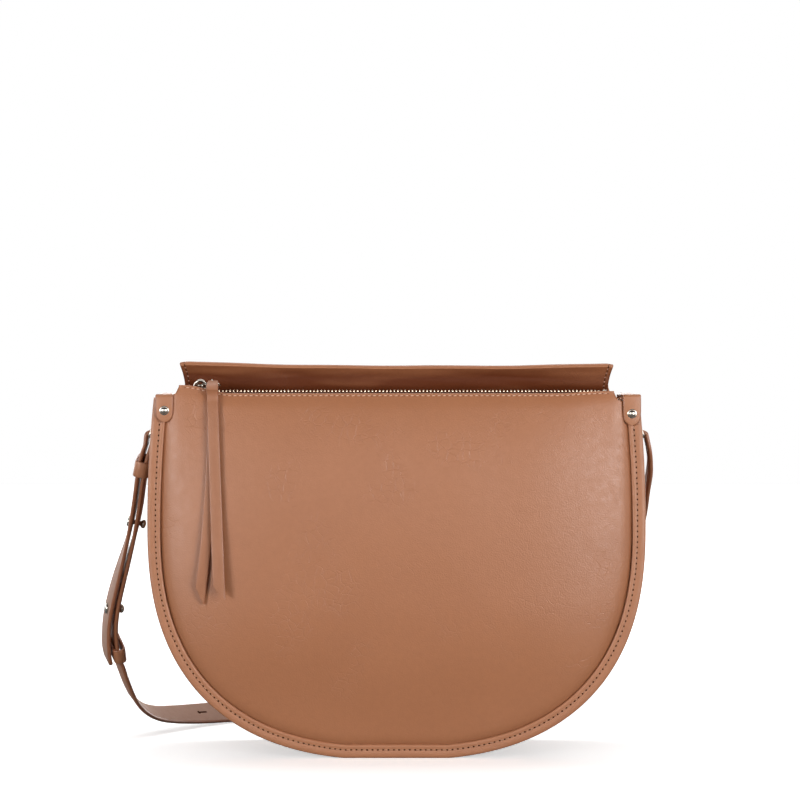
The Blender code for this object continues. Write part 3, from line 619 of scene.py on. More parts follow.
def panel_front(x, z):
    """Depth of the front panel's face: it rolls back over the lip at its top."""
    top = lip_height(x)
    y = -0.0011 - panel_rise(x, min(z, top - LIP_ROUND))
    near = held((z - top + 0.010) / 0.010)
    y += 0.0018 * near * near
    over = (z - (top - LIP_ROUND)) / LIP_ROUND
    if over > 0:
        y += LIP_DEPTH * (1 - math.sqrt(max(1 - held(over) ** 2, 0)))
    return y


def panel_normal(point):
    """The front panel's outward direction at a point of its face."""
    step = MM
    dx = (panel_front(point.x + step, point.z) - panel_front(point.x - step, point.z)) / (2 * step)
    dz = (panel_front(point.x, point.z + step) - panel_front(point.x, point.z - step)) / (2 * step)
    return Vector((dx, -1, dz)).normalized()


def back_rise(x, z):
    """How far the back panel swells out behind the seam."""
    height = held((z - PANEL_INSET) / (BACK_TOP - PANEL_INSET))
    edge = 1 - (abs(x) / HALF_WIDTH) ** 4
    wave = 0.0006 * noise.noise(Vector((x * 13, z * 13, 21.0)))
    return (0.0052 * math.sin(math.pi * height ** 0.8) + wave * ease(edge * 3)) * held(edge)


def strip_section(width, front, rear):
    """The section of a seam strip: how far in, and how far out at the front or rear, round it."""
    return [(width, rear - 0.0002), (width * 0.6, rear), (0.0009, rear), (0.00025, rear - 0.0003),
            (0.0, rear - 0.0009), (0.00005, 0.0005), (0.0004, 0.00015), (0.0004, -0.00015),
            (0.00005, -0.0005), (0.0, -front + 0.0010), (0.0002, -front + 0.0005),
            (0.0006, -front + 0.0002), (0.0013, -front), (0.0026, -front - 0.00012),
            (0.0040, -front + 0.00005), (0.0050, -front + 0.00022), (0.0060, -front + 0.00005),
            (0.0070, -front - 0.0001), (width - 0.0006, -front + 0.0001),
            (width - 0.0002, -front + 0.0004), (width, -front + 0.0011), (width, 0)]


STITCH_INSET = 0.0050


def seam_strip(taper, depth, count=300):
    """A bound seam: a strip that follows the outline, standing out round it."""
    outer = whole_outline(taper, 0, count)
    inner = whole_outline(taper, BINDING_WIDTH, count)
    section = strip_section(BINDING_WIDTH, BINDING_THICK / 2, BINDING_THICK / 2)

    def ring(along):
        i = round(along * count)
        a, b = outer[i], inner[i]
        before, after = outer[max(i - 1, 0)], outer[min(i + 1, count)]
        run = Vector((after.x - before.x, depth(after.y) - depth(before.y), after.y - before.y)).normalized()
        across = Vector((b.x - a.x, depth(b.y) - depth(a.y), b.y - a.y)).normalized()
        out = across.cross(run).normalized()
        if out.y < 0:
            out = -out
        start = Vector((a.x, depth(a.y), a.y))
        points = [start + across * u + out * v for u, v in section]
        return [Vector((p.x, p.y, max(p.z, 0))) for p in points]

    around = len(section)
    return rolled(ring, count, around, lambda u, v: 1 if 0.16 < u < 0.40 else 0)


def seam_line(taper, inset, depth, lift, count=600):
    """A line in a seam strip, lift in front of its middle, for its stitches."""
    return [Vector((p.x, depth(p.y) + lift, p.y)) for p in whole_outline(taper, inset, count)]


def strip_ring(centre, wide, out, half, thick):
    """The section of a flat leather strip, its two long edges rounded."""
    r = thick / 2
    shape = [(half - r * 0.9, r), (half - r * 0.3, r * 0.8), (half, r * 0.25), (half, -r * 0.25),
             (half - r * 0.3, -r * 0.8), (half - r * 0.9, -r), (0, -r), (-half + r * 0.9, -r),
             (-half + r * 0.3, -r * 0.8), (-half, -r * 0.25), (-half, r * 0.25), (-half + r * 0.3, r * 0.8),
             (-half + r * 0.9, r), (0, r)]
    return [centre + wide * a + out * b for a, b in shape]


STRIP_AROUND = 14


def strip_paint(u, v):
    """Which finish each side of a strip takes: 0 its face, 1 its edges, 2 its back."""
    place = int(u * STRIP_AROUND)
    if place < 5 or 7 <= place < 12:
        return 1
    return 2 if place < 7 else 0


def strip(path, wides, halves, thick, closed=False, slants=None):
    """A flat leather strip along a path; wides is the way across it, slants how far an end is cut askew."""
    count = len(path)
    rows = count if closed else count - 1
    rings = []
    for i in range(count):
        before = path[i - 1] if closed or i else path[i]
        after = path[(i + 1) % count] if closed or i < count - 1 else path[i]
        along = (after - before).normalized()
        wide = wides[i] - along * wides[i].dot(along)
        wide.normalize()
        ring = strip_ring(path[i], wide, along.cross(wide), halves[i], thick)
        if slants:
            ring = [p + along * (slants[i] * (p - path[i]).dot(wide) / halves[i]) for p in ring]
        rings.append(ring)
    return rolled(lambda along: rings[round(along * rows) % count], rows, STRIP_AROUND, strip_paint)


# Sizes and colours that can be changed

def srgb(red, green, blue):
    """A colour of the screen, 0 to 255, as Blender keeps it."""
    return tuple((c / 12.92 if c <= 0.04045 else ((c + 0.055) / 1.055) ** 2.4)
                 for c in (red / 255, green / 255, blue / 255))


def colour_property(label, told, red, green, blue):
    """A colour that can be changed in the panel."""
    return bpy.props.FloatVectorProperty(name=label, description=told, subtype="COLOR", size=3, min=0, max=1,
                                         default=srgb(red, green, blue))


def length_property(label, told, value):
    """A length that can be changed in the panel."""
    return bpy.props.FloatProperty(name=label, description=told, default=value, min=0, unit="LENGTH",
                                   precision=4)


class BagSizes(bpy.types.PropertyGroup):
    """Lengths of the bag's soft forms and stitching."""
    stitch_pitch: length_property("Stitch pitch", "From one stitch to the next", 0.0032)
    tooth_pitch: length_property("Tooth pitch", "From one tooth of the zip to the next", 0.0022)
    gusset_swell: length_property("Gusset swell", "How far the gusset swells out between its seams", 0.0016)
    hem_inset: length_property("Hem", "From the lip's fold to its row of stitches", 0.0005)
    strap_thick: length_property("Strap", "Thickness of the shoulder strap", 0.0024)


class BagColours(bpy.types.PropertyGroup):
    """Colours of the bag's finishes."""
    tan: colour_property("Tan leather", "Front, back and gusset", 176, 116, 80)
    strip: colour_property("Seam leather", "The bound seams, ears and pull", 180, 121, 86)
    # Painted shade: a dark brown that stands for the shade on the collar's hollow face.
    shade: colour_property("Painted collar shade", "The collar's hollow face", 98, 48, 24)
    edge: colour_property("Painted edge", "The cut edges of the strap, ears and pull", 164, 106, 74)
    flesh: colour_property("Flesh side", "The underside of the strap", 186, 150, 132)
    thread: colour_property("Thread", "The seams' thread", 196, 148, 116)
    lip_thread: colour_property("Lip thread", "The thread along the front panel's lip", 238, 198, 170)
    # Painted shade: this dark colour stands for the shade inside pricked holes and the strap's slot.
    hole: colour_property("Painted hole shade", "The pricked holes between stitches", 74, 42, 26)
    tape: colour_property("Zip tape", "The zip's woven tape", 122, 80, 56)
    lining: colour_property("Lining", "The cloth inside", 150, 112, 86)
    board: colour_property("Base board", "The board in the base", 120, 96, 74)
    teeth: colour_property("Zip teeth", "The bright teeth of the zip", 232, 212, 188)
    metal: colour_property("Plating", "The nickel of the zip, rings, rivets and studs", 184, 178, 168)


def make_looks(colours):
    """Mixes the finishes that the pieces use."""
    LOOKS["tan"] = leather("Tan leather", colours.tan)
    LOOKS["strip"] = leather("Seam leather", colours.strip, roughness=0.40, grain=1500.0)
    LOOKS["pull"] = leather("Pull leather", deeper(colours.strip, 0.15), roughness=0.46, grain=1500.0)
    # Painted shade: the collar's face runs from the dark shade colour at its foot to a darkened tan at its
    # rim.
    LOOKS["shade"] = shaded_leather(colours.shade, deeper(colours.tan, 0.22))
    LOOKS["edge"] = leather("Painted edge", colours.edge, roughness=0.34, grain=2600.0, relief=0.00003)
    LOOKS["flesh"] = leather("Flesh side", colours.flesh, roughness=0.68, grain=2200.0, relief=0.00008,
                             shine=0.25)
    LOOKS["thread"] = woven("Thread", colours.thread, 0.3, 9000.0, 0.00004, 0.6)
    LOOKS["lip thread"] = woven("Lip thread", colours.lip_thread, 0.3, 9000.0, 0.00004, 0.6)
    # The two hole finishes are painted shade for pricked holes; the darker one is a darkened edge colour.
    LOOKS["hole"] = leather("Painted hole shade", colours.hole, roughness=0.8, shine=0.05)
    LOOKS["rim"] = leather("Painted deep hole shade", deeper(colours.edge, 0.35), roughness=0.4, grain=2600.0)
    LOOKS["tape"] = woven("Zip tape", colours.tape, 0.5, 5200.0, 0.00006, 0.85)
    LOOKS["lining"] = woven("Lining cloth", colours.lining, 0.4, 6500.0, 0.00005, 0.9)
    LOOKS["board"] = leather("Base board", colours.board, roughness=0.9, grain=3000.0, relief=0.00005)
    LOOKS["teeth"] = plated("Zip teeth", colours.teeth)
    LOOKS["dim teeth"] = plated("Shaded zip teeth", colours.tape)
    LOOKS["metal"] = plated("Nickel plate", colours.metal)


# The stage

VIEW_FROM = 1.9
VIEW_HEIGHT = 0.267
VIEW_SIDE = 0.0021
VIEW_SHIFT = -0.109
VIEW_LENS = 142.5


def soft_light(name, place, target, size, power):
    """A large soft light that faces a point."""
    light = bpy.data.lights.new(name, "AREA")
    light.shape = "RECTANGLE"
    light.size, light.size_y = size
    light.energy = power
    made = bpy.data.objects.new(name, light)
    bpy.context.scene.collection.objects.link(made)
    made.location = place
    made.rotation_euler = (Vector(target) - Vector(place)).to_track_quat("-Z", "Y").to_euler()


def by_ray(tree, diffuse, glossy, plain):
    """A value for diffuse rays, one for glossy rays, and one for rays from the camera or through glass."""
    path = node(tree, "LightPath")
    found = diffuse
    seen = math_node(tree, "MAXIMUM", path.outputs["Is Camera Ray"], path.outputs["Is Transmission Ray"])
    for share, value in ((path.outputs["Is Glossy Ray"], glossy), (seen, plain)):
        kept = math_node(tree, "MULTIPLY", found, math_node(tree, "SUBTRACT", 1.0, share))
        found = math_node(tree, "ADD", kept, math_node(tree, "MULTIPLY", value, share))
    return found


def make_stage():
    """The camera, three soft lamps, the pale floor and the plain surround."""
    scene = bpy.context.scene
    lens = bpy.data.cameras.new("camera")
    lens.lens = VIEW_LENS
    lens.sensor_width = 36
    lens.clip_start = 0.05
    eye = bpy.data.objects.new("camera", lens)
    scene.collection.objects.link(eye)
    lens.shift_y = VIEW_SHIFT
    eye.location = (VIEW_SIDE, -VIEW_FROM, VIEW_HEIGHT)
    eye.rotation_euler = (math.pi / 2, 0, 0)
    scene.camera = eye

    soft_light("left lamp", (-1.10, -1.25, 0.20), (0, 0.02, 0.10), (0.62, 0.9), 16.8)
    soft_light("right lamp", (0.95, -1.35, 0.24), (0, 0.02, 0.12), (0.7, 0.9), 20.5)
    soft_light("high lamp", (0, 0.50, 1.45), (0, 0.45, 0), (2.6, 0.8), 18)

    world = bpy.data.worlds.new("surround")
    scene.world = world
    world.use_nodes = True
    tree = world.node_tree
    light = tree.nodes["Background"]
    light.inputs["Color"].default_value = (1, 1, 1, 1)
    way = node(tree, "SeparateXYZ")
    tree.links.new(node(tree, "TexCoord").outputs["Generated"], way.inputs[0])
    level = math_node(tree, "MULTIPLY", spread(tree, way.outputs["Z"], -0.05, 0.15, 2.0, 2.8),
                      spread(tree, way.outputs["Z"], 0.22, 0.46, 1.0, 0.03))
    level = math_node(tree, "MULTIPLY", level, spread(tree, way.outputs["Y"], 0.1, 0.8, 1.0, 1.7))
    strength = by_ray(tree, spread(tree, way.outputs["Z"], 0.0, 0.7, 0.27, 0.08), level, 1.0)
    tree.links.new(strength, light.inputs["Strength"])

    ground = bmesh.new()
    bmesh.ops.create_grid(ground, x_segments=4, y_segments=4, size=3)
    mesh = bpy.data.meshes.new("floor")
    ground.to_mesh(mesh)
    ground.free()
    finish = bpy.data.materials.new("Pale floor")
    finish.use_nodes = True
    tree = finish.node_tree
    shader = tree.nodes["Principled BSDF"]
    shader.inputs["Roughness"].default_value = 0.7
    shader.inputs["Specular IOR Level"].default_value = 0.1
    place = node(tree, "TexCoord").outputs["Object"]
    tone = by_ray(tree, 0.09, 0.09, spread(tree, noise_at(tree, place, 3, 2), 0.3, 0.7, 0.97, 0.99))
    tree.links.new(mix_colour(tree, tone, (0, 0, 0), (1, 1, 1)), shader.inputs["Base Color"])
    shader.inputs["Emission Color"].default_value = (1, 1, 1, 1)
    away = node(tree, "VectorMath", operation="LENGTH")
    tree.links.new(place, away.inputs[0])
    glow = spread(tree, away.outputs["Value"], 0.35, 1.2, 0.52, 0.98)
    tree.links.new(by_ray(tree, 0.0, 0.16, glow), shader.inputs["Emission Strength"])
    mesh.materials.append(finish)
    floor = bpy.data.objects.new("floor", mesh)
    scene.collection.objects.link(floor)
    scene.view_settings.view_transform = "Standard"


# The pieces

PANEL_SIDE_LINE = spaced(PANEL_EDGE[:PANEL_CORNER + 1], 400)[::-1]


def make_front_panel():
    """The front panel: one puffed skin of leather that rolls over at its top edge."""
    def place(across, along):
        edge = at(PANEL_SIDE_LINE, 1 - (1 - held(along / 0.94)) ** 1.15)
        x = edge.x * (2 * across - 1)
        z = edge.y + (lip_height(x) - PANEL_HIGH.z) * ease((edge.y - 0.170) / 0.050)
        turn = held((along - 0.94) / 0.06)
        if turn == 0:
            z -= LIP_ROUND * ease((edge.y - 0.20) / 0.02)
            return Vector((x, panel_front(x, z), z))
        top = lip_height(x)
        start = panel_front(x, top - LIP_ROUND * 1.5)
        angle = math.pi * turn * 1.05
        y = start + LIP_ROUND * (1 - math.cos(angle))
        return Vector((x, y, top - LIP_ROUND + LIP_ROUND * math.sin(angle)))

    bm = mapped(180, 170, place)
    piece("front_panel_leather", bm, [LOOKS["tan"], LOOKS["edge"]], "bag", ("front_panel",),
          wall=(LEATHER * 0.7, -1), rim=1)


def make_back_panel():
    """The back panel, which leans forward up to the collar."""
    side = drawn_in(half_outline(BACK_TAPER), PANEL_INSET)
    corner = next(i for i, (x, z) in enumerate(side) if z <= PANEL_INSET + MM / 100)
    line = [(0.1298, BACK_TOP - 0.0014), (0.1290, BACK_TOP - 0.0075), (0.1290, BACK_TOP - 0.0150)]
    line += side[:corner + 1]
    line = spaced(line, 400)[::-1]

    def place(across, along):
        edge = at(line, along)
        x = edge.x * (2 * across - 1)
        z = edge.y - rim_sag(-x) * ease((edge.y - 0.215) / 0.018)
        return Vector((-x, back_depth(z) + 0.0004 + back_rise(x, z), z))

    bm = mapped(100, 120, place)
    piece("back_panel_leather", bm, [LOOKS["tan"], LOOKS["edge"]], "bag", ("back_panel",),
          wall=(LEATHER * 0.7, -1), rim=1)


def make_gusset(sizes):
    """The band of leather round the sides and base."""
    count = 260
    front = whole_outline(FRONT_TAPER, PANEL_INSET, count)
    back = whole_outline(BACK_TAPER, PANEL_INSET + 0.0004, count)
    middle = Vector((0, 0.13))

    def place(across, along):
        i = round(along * count)
        flat = front[i].lerp(back[i], across)
        y = lerp(0.0006, back_depth(back[i].y) - 0.0006, across)
        out = (flat - middle).normalized()
        low = ease((flat.y - 0.012) / 0.03) * (1 - ease((flat.y - 0.180) / 0.030))
        swell = sizes.gusset_swell * math.sin(math.pi * across) * low
        swell += 0.0007 * noise.noise(Vector((flat.x * 18, y * 18, flat.y * 18))) * low
        flat = flat + out * swell
        return Vector((flat.x, y, flat.y))

    bm = mapped(26, count, place)
    bmesh.ops.reverse_faces(bm, faces=bm.faces)
    piece("gusset_leather", bm, [LOOKS["tan"], LOOKS["edge"]], "bag", ("gusset",),
          wall=(LEATHER * 0.7, -1), rim=1)


def make_seams(sizes):
    """The two bound seams with their rows of stitches."""
    half = BINDING_THICK / 2
    for side, taper, depth, front in (("front", FRONT_TAPER, lambda z: 0.0, -1),
                                      ("back", BACK_TAPER, back_depth, 1)):
        bm = seam_strip(taper, depth)
        if front > 0:
            for vertex in bm.verts:
                vertex.co.y = 2 * depth(vertex.co.z) - vertex.co.y
            bmesh.ops.reverse_faces(bm, faces=bm.faces)
        piece(f"{side}_seam_strip", bm, [LOOKS["strip"], LOOKS["edge"]], "bag",
              (f"{side}_seam_binding",), sharp=55)
        line = seam_line(taper, STITCH_INSET, depth, front * (half - 0.00015))
        stitches(f"{side}_seam_stitches", line, lambda point, way=front: Vector((0, way, 0)),
                 sizes.stitch_pitch)


COLLAR_SHAPE = ((23.6, 219.2), (25.2, 220.6), (26.9, 223.0), (28.0, 226.0), (28.3, 229.0), (27.6, 231.8),
                (26.4, 234.1), (25.7, 235.4), (25.6, 236.2), (26.1, 237.0), (27.0, 237.5), (28.4, 237.6),
                (30.0, 237.2), (31.3, 236.2), (32.0, 234.0), (32.2, 230.2))
COLLAR_RIM_FROM = 7
COLLAR_FOOT_HALF = 0.1284
COLLAR_RIM_HALF = 0.1318
COLLAR_DEEPEST = 0.0284
RIM_HALF = 0.131


def rim_sag(x):
    """How far the collar's rim hangs below its left end."""
    return 0.0021 * (1 - (x / RIM_HALF) ** 2) + 0.0006 * (1 + x / RIM_HALF)


def collar_at(across, along):
    """A point of the collar's skin, from its foot, up its hollow face and over its rolled rim."""
    line = smooth_line([(0, y * MM, z * MM) for y, z in COLLAR_SHAPE], 3)
    point = at(line, along)
    rise = held((point.z - 0.2195) / 0.017)
    half = lerp(COLLAR_FOOT_HALF, COLLAR_RIM_HALF, rise ** 1.6)
    x = lerp(-half, half, across)
    end = 1 - held((half - abs(x)) / 0.006)
    bow = 0.0005 * noise.noise(Vector((x * 26, 2.0, point.z * 20)))
    slanted = noise.noise(Vector((x * 26 + point.z * 90, 5.0, point.z * 24 - x * 6)))
    fold = 0.0019 * (slanted - 0.30) * math.sin(math.pi * held(rise))
    y = point.y + fold + bow + 0.0004 * end * math.sin(math.pi * rise)
    if point.y < COLLAR_DEEPEST:
        y = min(y, COLLAR_DEEPEST)
    wave = 0.0005 * noise.noise(Vector((x * 22, 7.0, 1.0)))
    z = point.z + (wave - rim_sag(x) - 0.0008 * end * end) * rise
    return Vector((x, y, z))


def make_collar(sizes):
    """The collar behind the zip: a hollow face, a rolled rim and two stitched side hems."""
    rim = COLLAR_RIM_FROM / (len(COLLAR_SHAPE) - 1)
    # Below the rim, the collar's face takes the painted shade finish.
    bm = mapped(200, 60, collar_at, lambda u, v: 0 if v > rim else 1)
    piece("collar_leather", bm, [LOOKS["tan"], LOOKS["shade"]], "bag", ("top_collar",),
          wall=(LEATHER * 0.7, -1))
    for side, across in (("left", 0.010), ("right", 0.990)):
        line = [collar_at(across, lerp(0.06, 0.58, i / 30)) for i in range(31)]
        # The hems' stitches take the dark hole colour and their holes the darker one: painted shade of
        # pricked holes.
        stitches(f"{side}_collar_stitches", line, lambda point: Vector((0, -1, 0.1)).normalized(),
                 sizes.stitch_pitch * 0.9, [LOOKS["hole"], LOOKS["rim"]])


def make_lip_stitches(sizes):
    """The row of stitches under the front panel's folded lip."""
    line = []
    for i in range(400):
        x = lerp(-0.1268, 0.1268, i / 399)
        z = lip_height(x) - LIP_ROUND - sizes.hem_inset
        line.append(Vector((x, panel_front(x, z), z)))
    # The lip's holes take the darker hole colour as painted shade.
    stitches("lip_stitches", line, panel_normal, sizes.stitch_pitch, [LOOKS["lip thread"], LOOKS["rim"]])


TAPE_REACH = 0.0113
TAPE_DIP = 0.0016
TAPE_THICK = 0.0007
TOOTH_HEAD = 0.0011
TOOTH_BEVEL = 0.0003


def make_zip(sizes):
    """The zip: two woven tapes, and two rows of teeth between them."""
    slot = (TEETH_HIGH.y + TEETH_BACK_LOW.y) / 2
    for side, low, high in (("front", TAPE_LOW, TAPE_HIGH), ("back", TAPE_BACK_LOW, TAPE_BACK_HIGH)):
        def place(across, along, low=low, high=high):
            y = lerp(low.y, high.y, along)
            near = abs(y - slot) / TAPE_REACH
            return Vector((lerp(low.x, high.x, across), y, high.z - 0.0004 - TAPE_DIP * near))

        piece(f"{side}_tape", mapped(160, 6, place), [LOOKS["tape"]], "bag",
              (f"zip_tape_{side}",), wall=(TAPE_THICK, -1))
    middle = (TEETH_LOW.z + TEETH_HIGH.z) / 2
    for side, way, low, high, look, stagger, lift in (
            ("front", 1, TEETH_LOW, TEETH_HIGH, "teeth", 0.5, 0.0001),
            ("back", -1, TEETH_BACK_LOW, TEETH_BACK_HIGH, "dim teeth", 0.0, -0.0017)):
        bm = bmesh.new()
        count = int((high.x - low.x) / sizes.tooth_pitch)
        tip = slot - way * 0.0004
        foot = low.y if way > 0 else high.y
        for i in range(count):
            x = low.x + (i + stagger + 0.25) * sizes.tooth_pitch
            for root, wide, tall in ((foot, 0.0010, 0.0015), (tip - way * TOOTH_HEAD, 0.0011, 0.0016)):
                centre = Vector((x, (root + tip) / 2, middle + lift))
                matrix = Matrix.Translation(centre) @ Matrix.Diagonal((wide, abs(tip - root), tall, 1))
                made = bmesh.ops.create_cube(bm, size=1, matrix=matrix)
                edges = list({edge for vertex in made["verts"] for edge in vertex.link_edges})
                bmesh.ops.bevel(bm, geom=edges, offset=TOOTH_BEVEL, segments=1, profile=0.5, affect="EDGES",
                                material=-1)
        piece(f"{side}_teeth", bm, [LOOKS[look]], "bag", (f"zip_teeth_{side}",), sharp=50)


SLIDER_PLATE = 0.0011
SLIDER_CORNER = 0.0022
CROWN_X = -0.1181
CROWN_HALF = 0.0033
CROWN_FOOT_Z = 0.2220
CROWN_RISE = 0.0041
CROWN_WIRE = 0.0012
CROWN_BALLS = ((0.30, 0.0011), (0.68, 0.0013))
CROWN_BALL_FROM = -0.1206
CROWN_BALL_TO = -0.1146
CROWN_BALL_Z = 0.2232
HOOP_FOOT_Z = 0.2218
HOOP_WIRE = 0.0006
ARCH_STEPS = 16


def make_slider():
    """The slider's two rounded plates, the wire crown on them and the hoop that holds the ring."""
    bm = bmesh.new()
    centre = (SLIDER_LOW + SLIDER_HIGH) / 2
    size = SLIDER_HIGH - SLIDER_LOW
    for level, shrink in ((SLIDER_HIGH.z - SLIDER_PLATE / 2, 1.0), (SLIDER_LOW.z + SLIDER_PLATE / 2, 0.92)):
        matrix = (Matrix.Translation((centre.x, centre.y, level))
                  @ Matrix.Diagonal((size.x, size.y * shrink, SLIDER_PLATE, 1)))
        made = bmesh.ops.create_cube(bm, size=1, matrix=matrix)
        upright = [edge for edge in {e for v in made["verts"] for e in v.link_edges}
                   if abs(edge.verts[0].co.z - edge.verts[1].co.z) > SLIDER_PLATE / 2]
        bmesh.ops.bevel(bm, geom=upright, offset=SLIDER_CORNER, segments=5, profile=0.5, affect="EDGES",
                        material=-1)
    matrix = Matrix.Translation(centre) @ Matrix.Diagonal((size.x * 0.55, 0.0008, size.z * 0.9, 1))
    bmesh.ops.create_cube(bm, size=1, matrix=matrix)
    piece("slider_plates", bm, [LOOKS["metal"]], "slider", ("slider_body",), sharp=35,
          soften=0.00025)
    bridge_low, bridge_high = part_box("slider_bridge")
    hoop_rise = bridge_high.z - HOOP_FOOT_Z - HOOP_WIRE
    arch, hoop = [], []
    for i in range(ARCH_STEPS + 1):
        angle = math.pi * i / ARCH_STEPS
        arch.append(Vector((CROWN_X - CROWN_HALF * math.cos(angle),
                            SLIDER_LOW.y + 0.0016 - 0.0010 * math.sin(angle),
                            CROWN_FOOT_Z + CROWN_RISE * math.sin(angle))))
        hoop.append(Vector(((bridge_low.x + bridge_high.x) / 2,
                            lerp(bridge_low.y, bridge_high.y, 0.5 - 0.42 * math.cos(angle)),
                            HOOP_FOOT_Z + hoop_rise * math.sin(angle) ** 0.7)))
    crown = wire(arch, CROWN_WIRE, 12, flat=0.8)
    for share, radius in CROWN_BALLS:
        place = (lerp(CROWN_BALL_FROM, CROWN_BALL_TO, share), SLIDER_LOW.y + 0.0012, CROWN_BALL_Z)
        bmesh.ops.create_uvsphere(crown, u_segments=16, v_segments=10, radius=radius,
                                  matrix=Matrix.Translation(place))
    piece("slider_crown", crown, [LOOKS["metal"]], "slider", sharp=50)
    piece("slider_hoop", wire(hoop, HOOP_WIRE, 10), [LOOKS["metal"]], "slider", ("slider_bridge",),
          sharp=50)


PULL_THICK = 0.0012
PULL_HOOK = Vector((-0.1113, 0.001793, 0.224336))
PULL_SHIFT = 0.0011
PULL_STEPS = 26
TAIL_TOP_DROP = 0.0030
REAR_TAIL = 0.1235
REAR_TAIL_SPARE = 0.0040
REAR_TAIL_CUT = -0.0054
FRONT_TAIL = 0.1207
FRONT_TAIL_SPARE = 0.0036
FRONT_TAIL_CUT = 0.0041
CUT_STEPS = 3
LIP_FOLD = ((-0.0058, -0.0004, 0.0033), (-0.0042, 0.0014, 0.0032), (-0.0006, 0.0010, 0.0030))
HOOK_FOLD = ((0.0016, -0.0016, 0.0028), (0.0031, 0, 0.0028), (0.0026, 0.0012, 0.0029),
             (0.0016, 0.0015, 0.0030), (-0.0002, 0.0012, 0.0031), (-0.0030, 0.0004, 0.0034),
             (-0.0060, -0.0012, 0.0036), (-0.0078, -0.0034, 0.0036))


def make_pull():
    """The leather pull: one strip folded over the ring, with two pointed tails."""
    path, halves, slants = [], [], []
    top = lip_height(PULL_HOOK.x)

    def lie(x, z, lift):
        return Vector((x, panel_front(x, min(z, top - LIP_ROUND)) - lift, z))

    for i in range(PULL_STEPS + 1):
        share = 1 - i / PULL_STEPS
        z = top - TAIL_TOP_DROP - share * (REAR_TAIL - REAR_TAIL_SPARE)
        x = PULL_HOOK.x + 0.0010 + 0.0025 * share - 0.0096 * share ** 2
        path.append(lie(x, z, 0.0009 + 0.0003 * math.sin(share * 9) + 0.0016 * share))
        halves.append(lerp(0.0031, 0.0034, share))
        slants.append(REAR_TAIL_CUT * max(1 - i / CUT_STEPS, 0))
    for height, fold in ((top, LIP_FOLD), (PULL_HOOK.z, HOOK_FOLD)):
        for y, rise, half in fold:
            path.append(Vector((PULL_HOOK.x + PULL_SHIFT, y, height + rise)))
            halves.append(half)
            slants.append(0)
    for i in range(PULL_STEPS + 1):
        share = i / PULL_STEPS
        z = top - TAIL_TOP_DROP - share * (FRONT_TAIL - FRONT_TAIL_SPARE)
        x = PULL_HOOK.x + lerp(0.0012, 0.0058, share)
        path.append(lie(x, z, 0.0026 + 0.0006 * math.sin(share * 7 + 1) + 0.0034 * share))
        halves.append(lerp(0.0034, 0.0037, share))
        slants.append(FRONT_TAIL_CUT * max(1 - (PULL_STEPS - i) / CUT_STEPS, 0))
    wides = [Vector((1, 0, 0))] * len(path)
    piece("pull_strip", strip(path, wides, halves, PULL_THICK, slants=slants),
          [LOOKS["pull"], LOOKS["edge"], LOOKS["pull"]], "tassel", ("pull_tassel",), sharp=60)


PIVOT = Vector((0, 0.016, 0.209))
EAR_SHIFT = {"left": -0.0009, "right": 0.0011}
EAR_DROP = {"left": 0.0160, "right": 0.0178}
RIVET_SHIFT = {"left": 0.0001, "right": -0.0018}
EAR_THICK = 0.0016
EAR_X = 0.1400
EAR_TOP_Z = EAR_HIGH.z - EAR_THICK / 2
EAR_FRONT_Y = EAR_LOW.y + EAR_THICK / 2
EAR_HALF = 0.0054
EAR_TIP_RADIUS = 0.0052
EAR_BEND = 0.0010
BRIDGE_X = 0.1383
BRIDGE_HALF = 0.0038
BRIDGE_BEND = 0.0018
BACK_EAR_DROP = 0.0092
REAR_RIVET_LEAN = Vector((0, 1, 0.12))


def side_rivet(name, centre, axis, instead):
    """A domed rivet with a thin flange."""
    profile = [(0, 0.0016), (0.0007, 0.00155), (0.0013, 0.00138), (0.0018, 0.00108), (0.0021, 0.0007),
               (0.0022, 0.0004), (0.0026, 0.00036), (0.0028, 0.0002), (0.0027, 0), (0, 0)]
    piece(name, turned(profile, 28, centre, axis), [LOOKS["metal"]], "bag", (instead,), sharp=50)


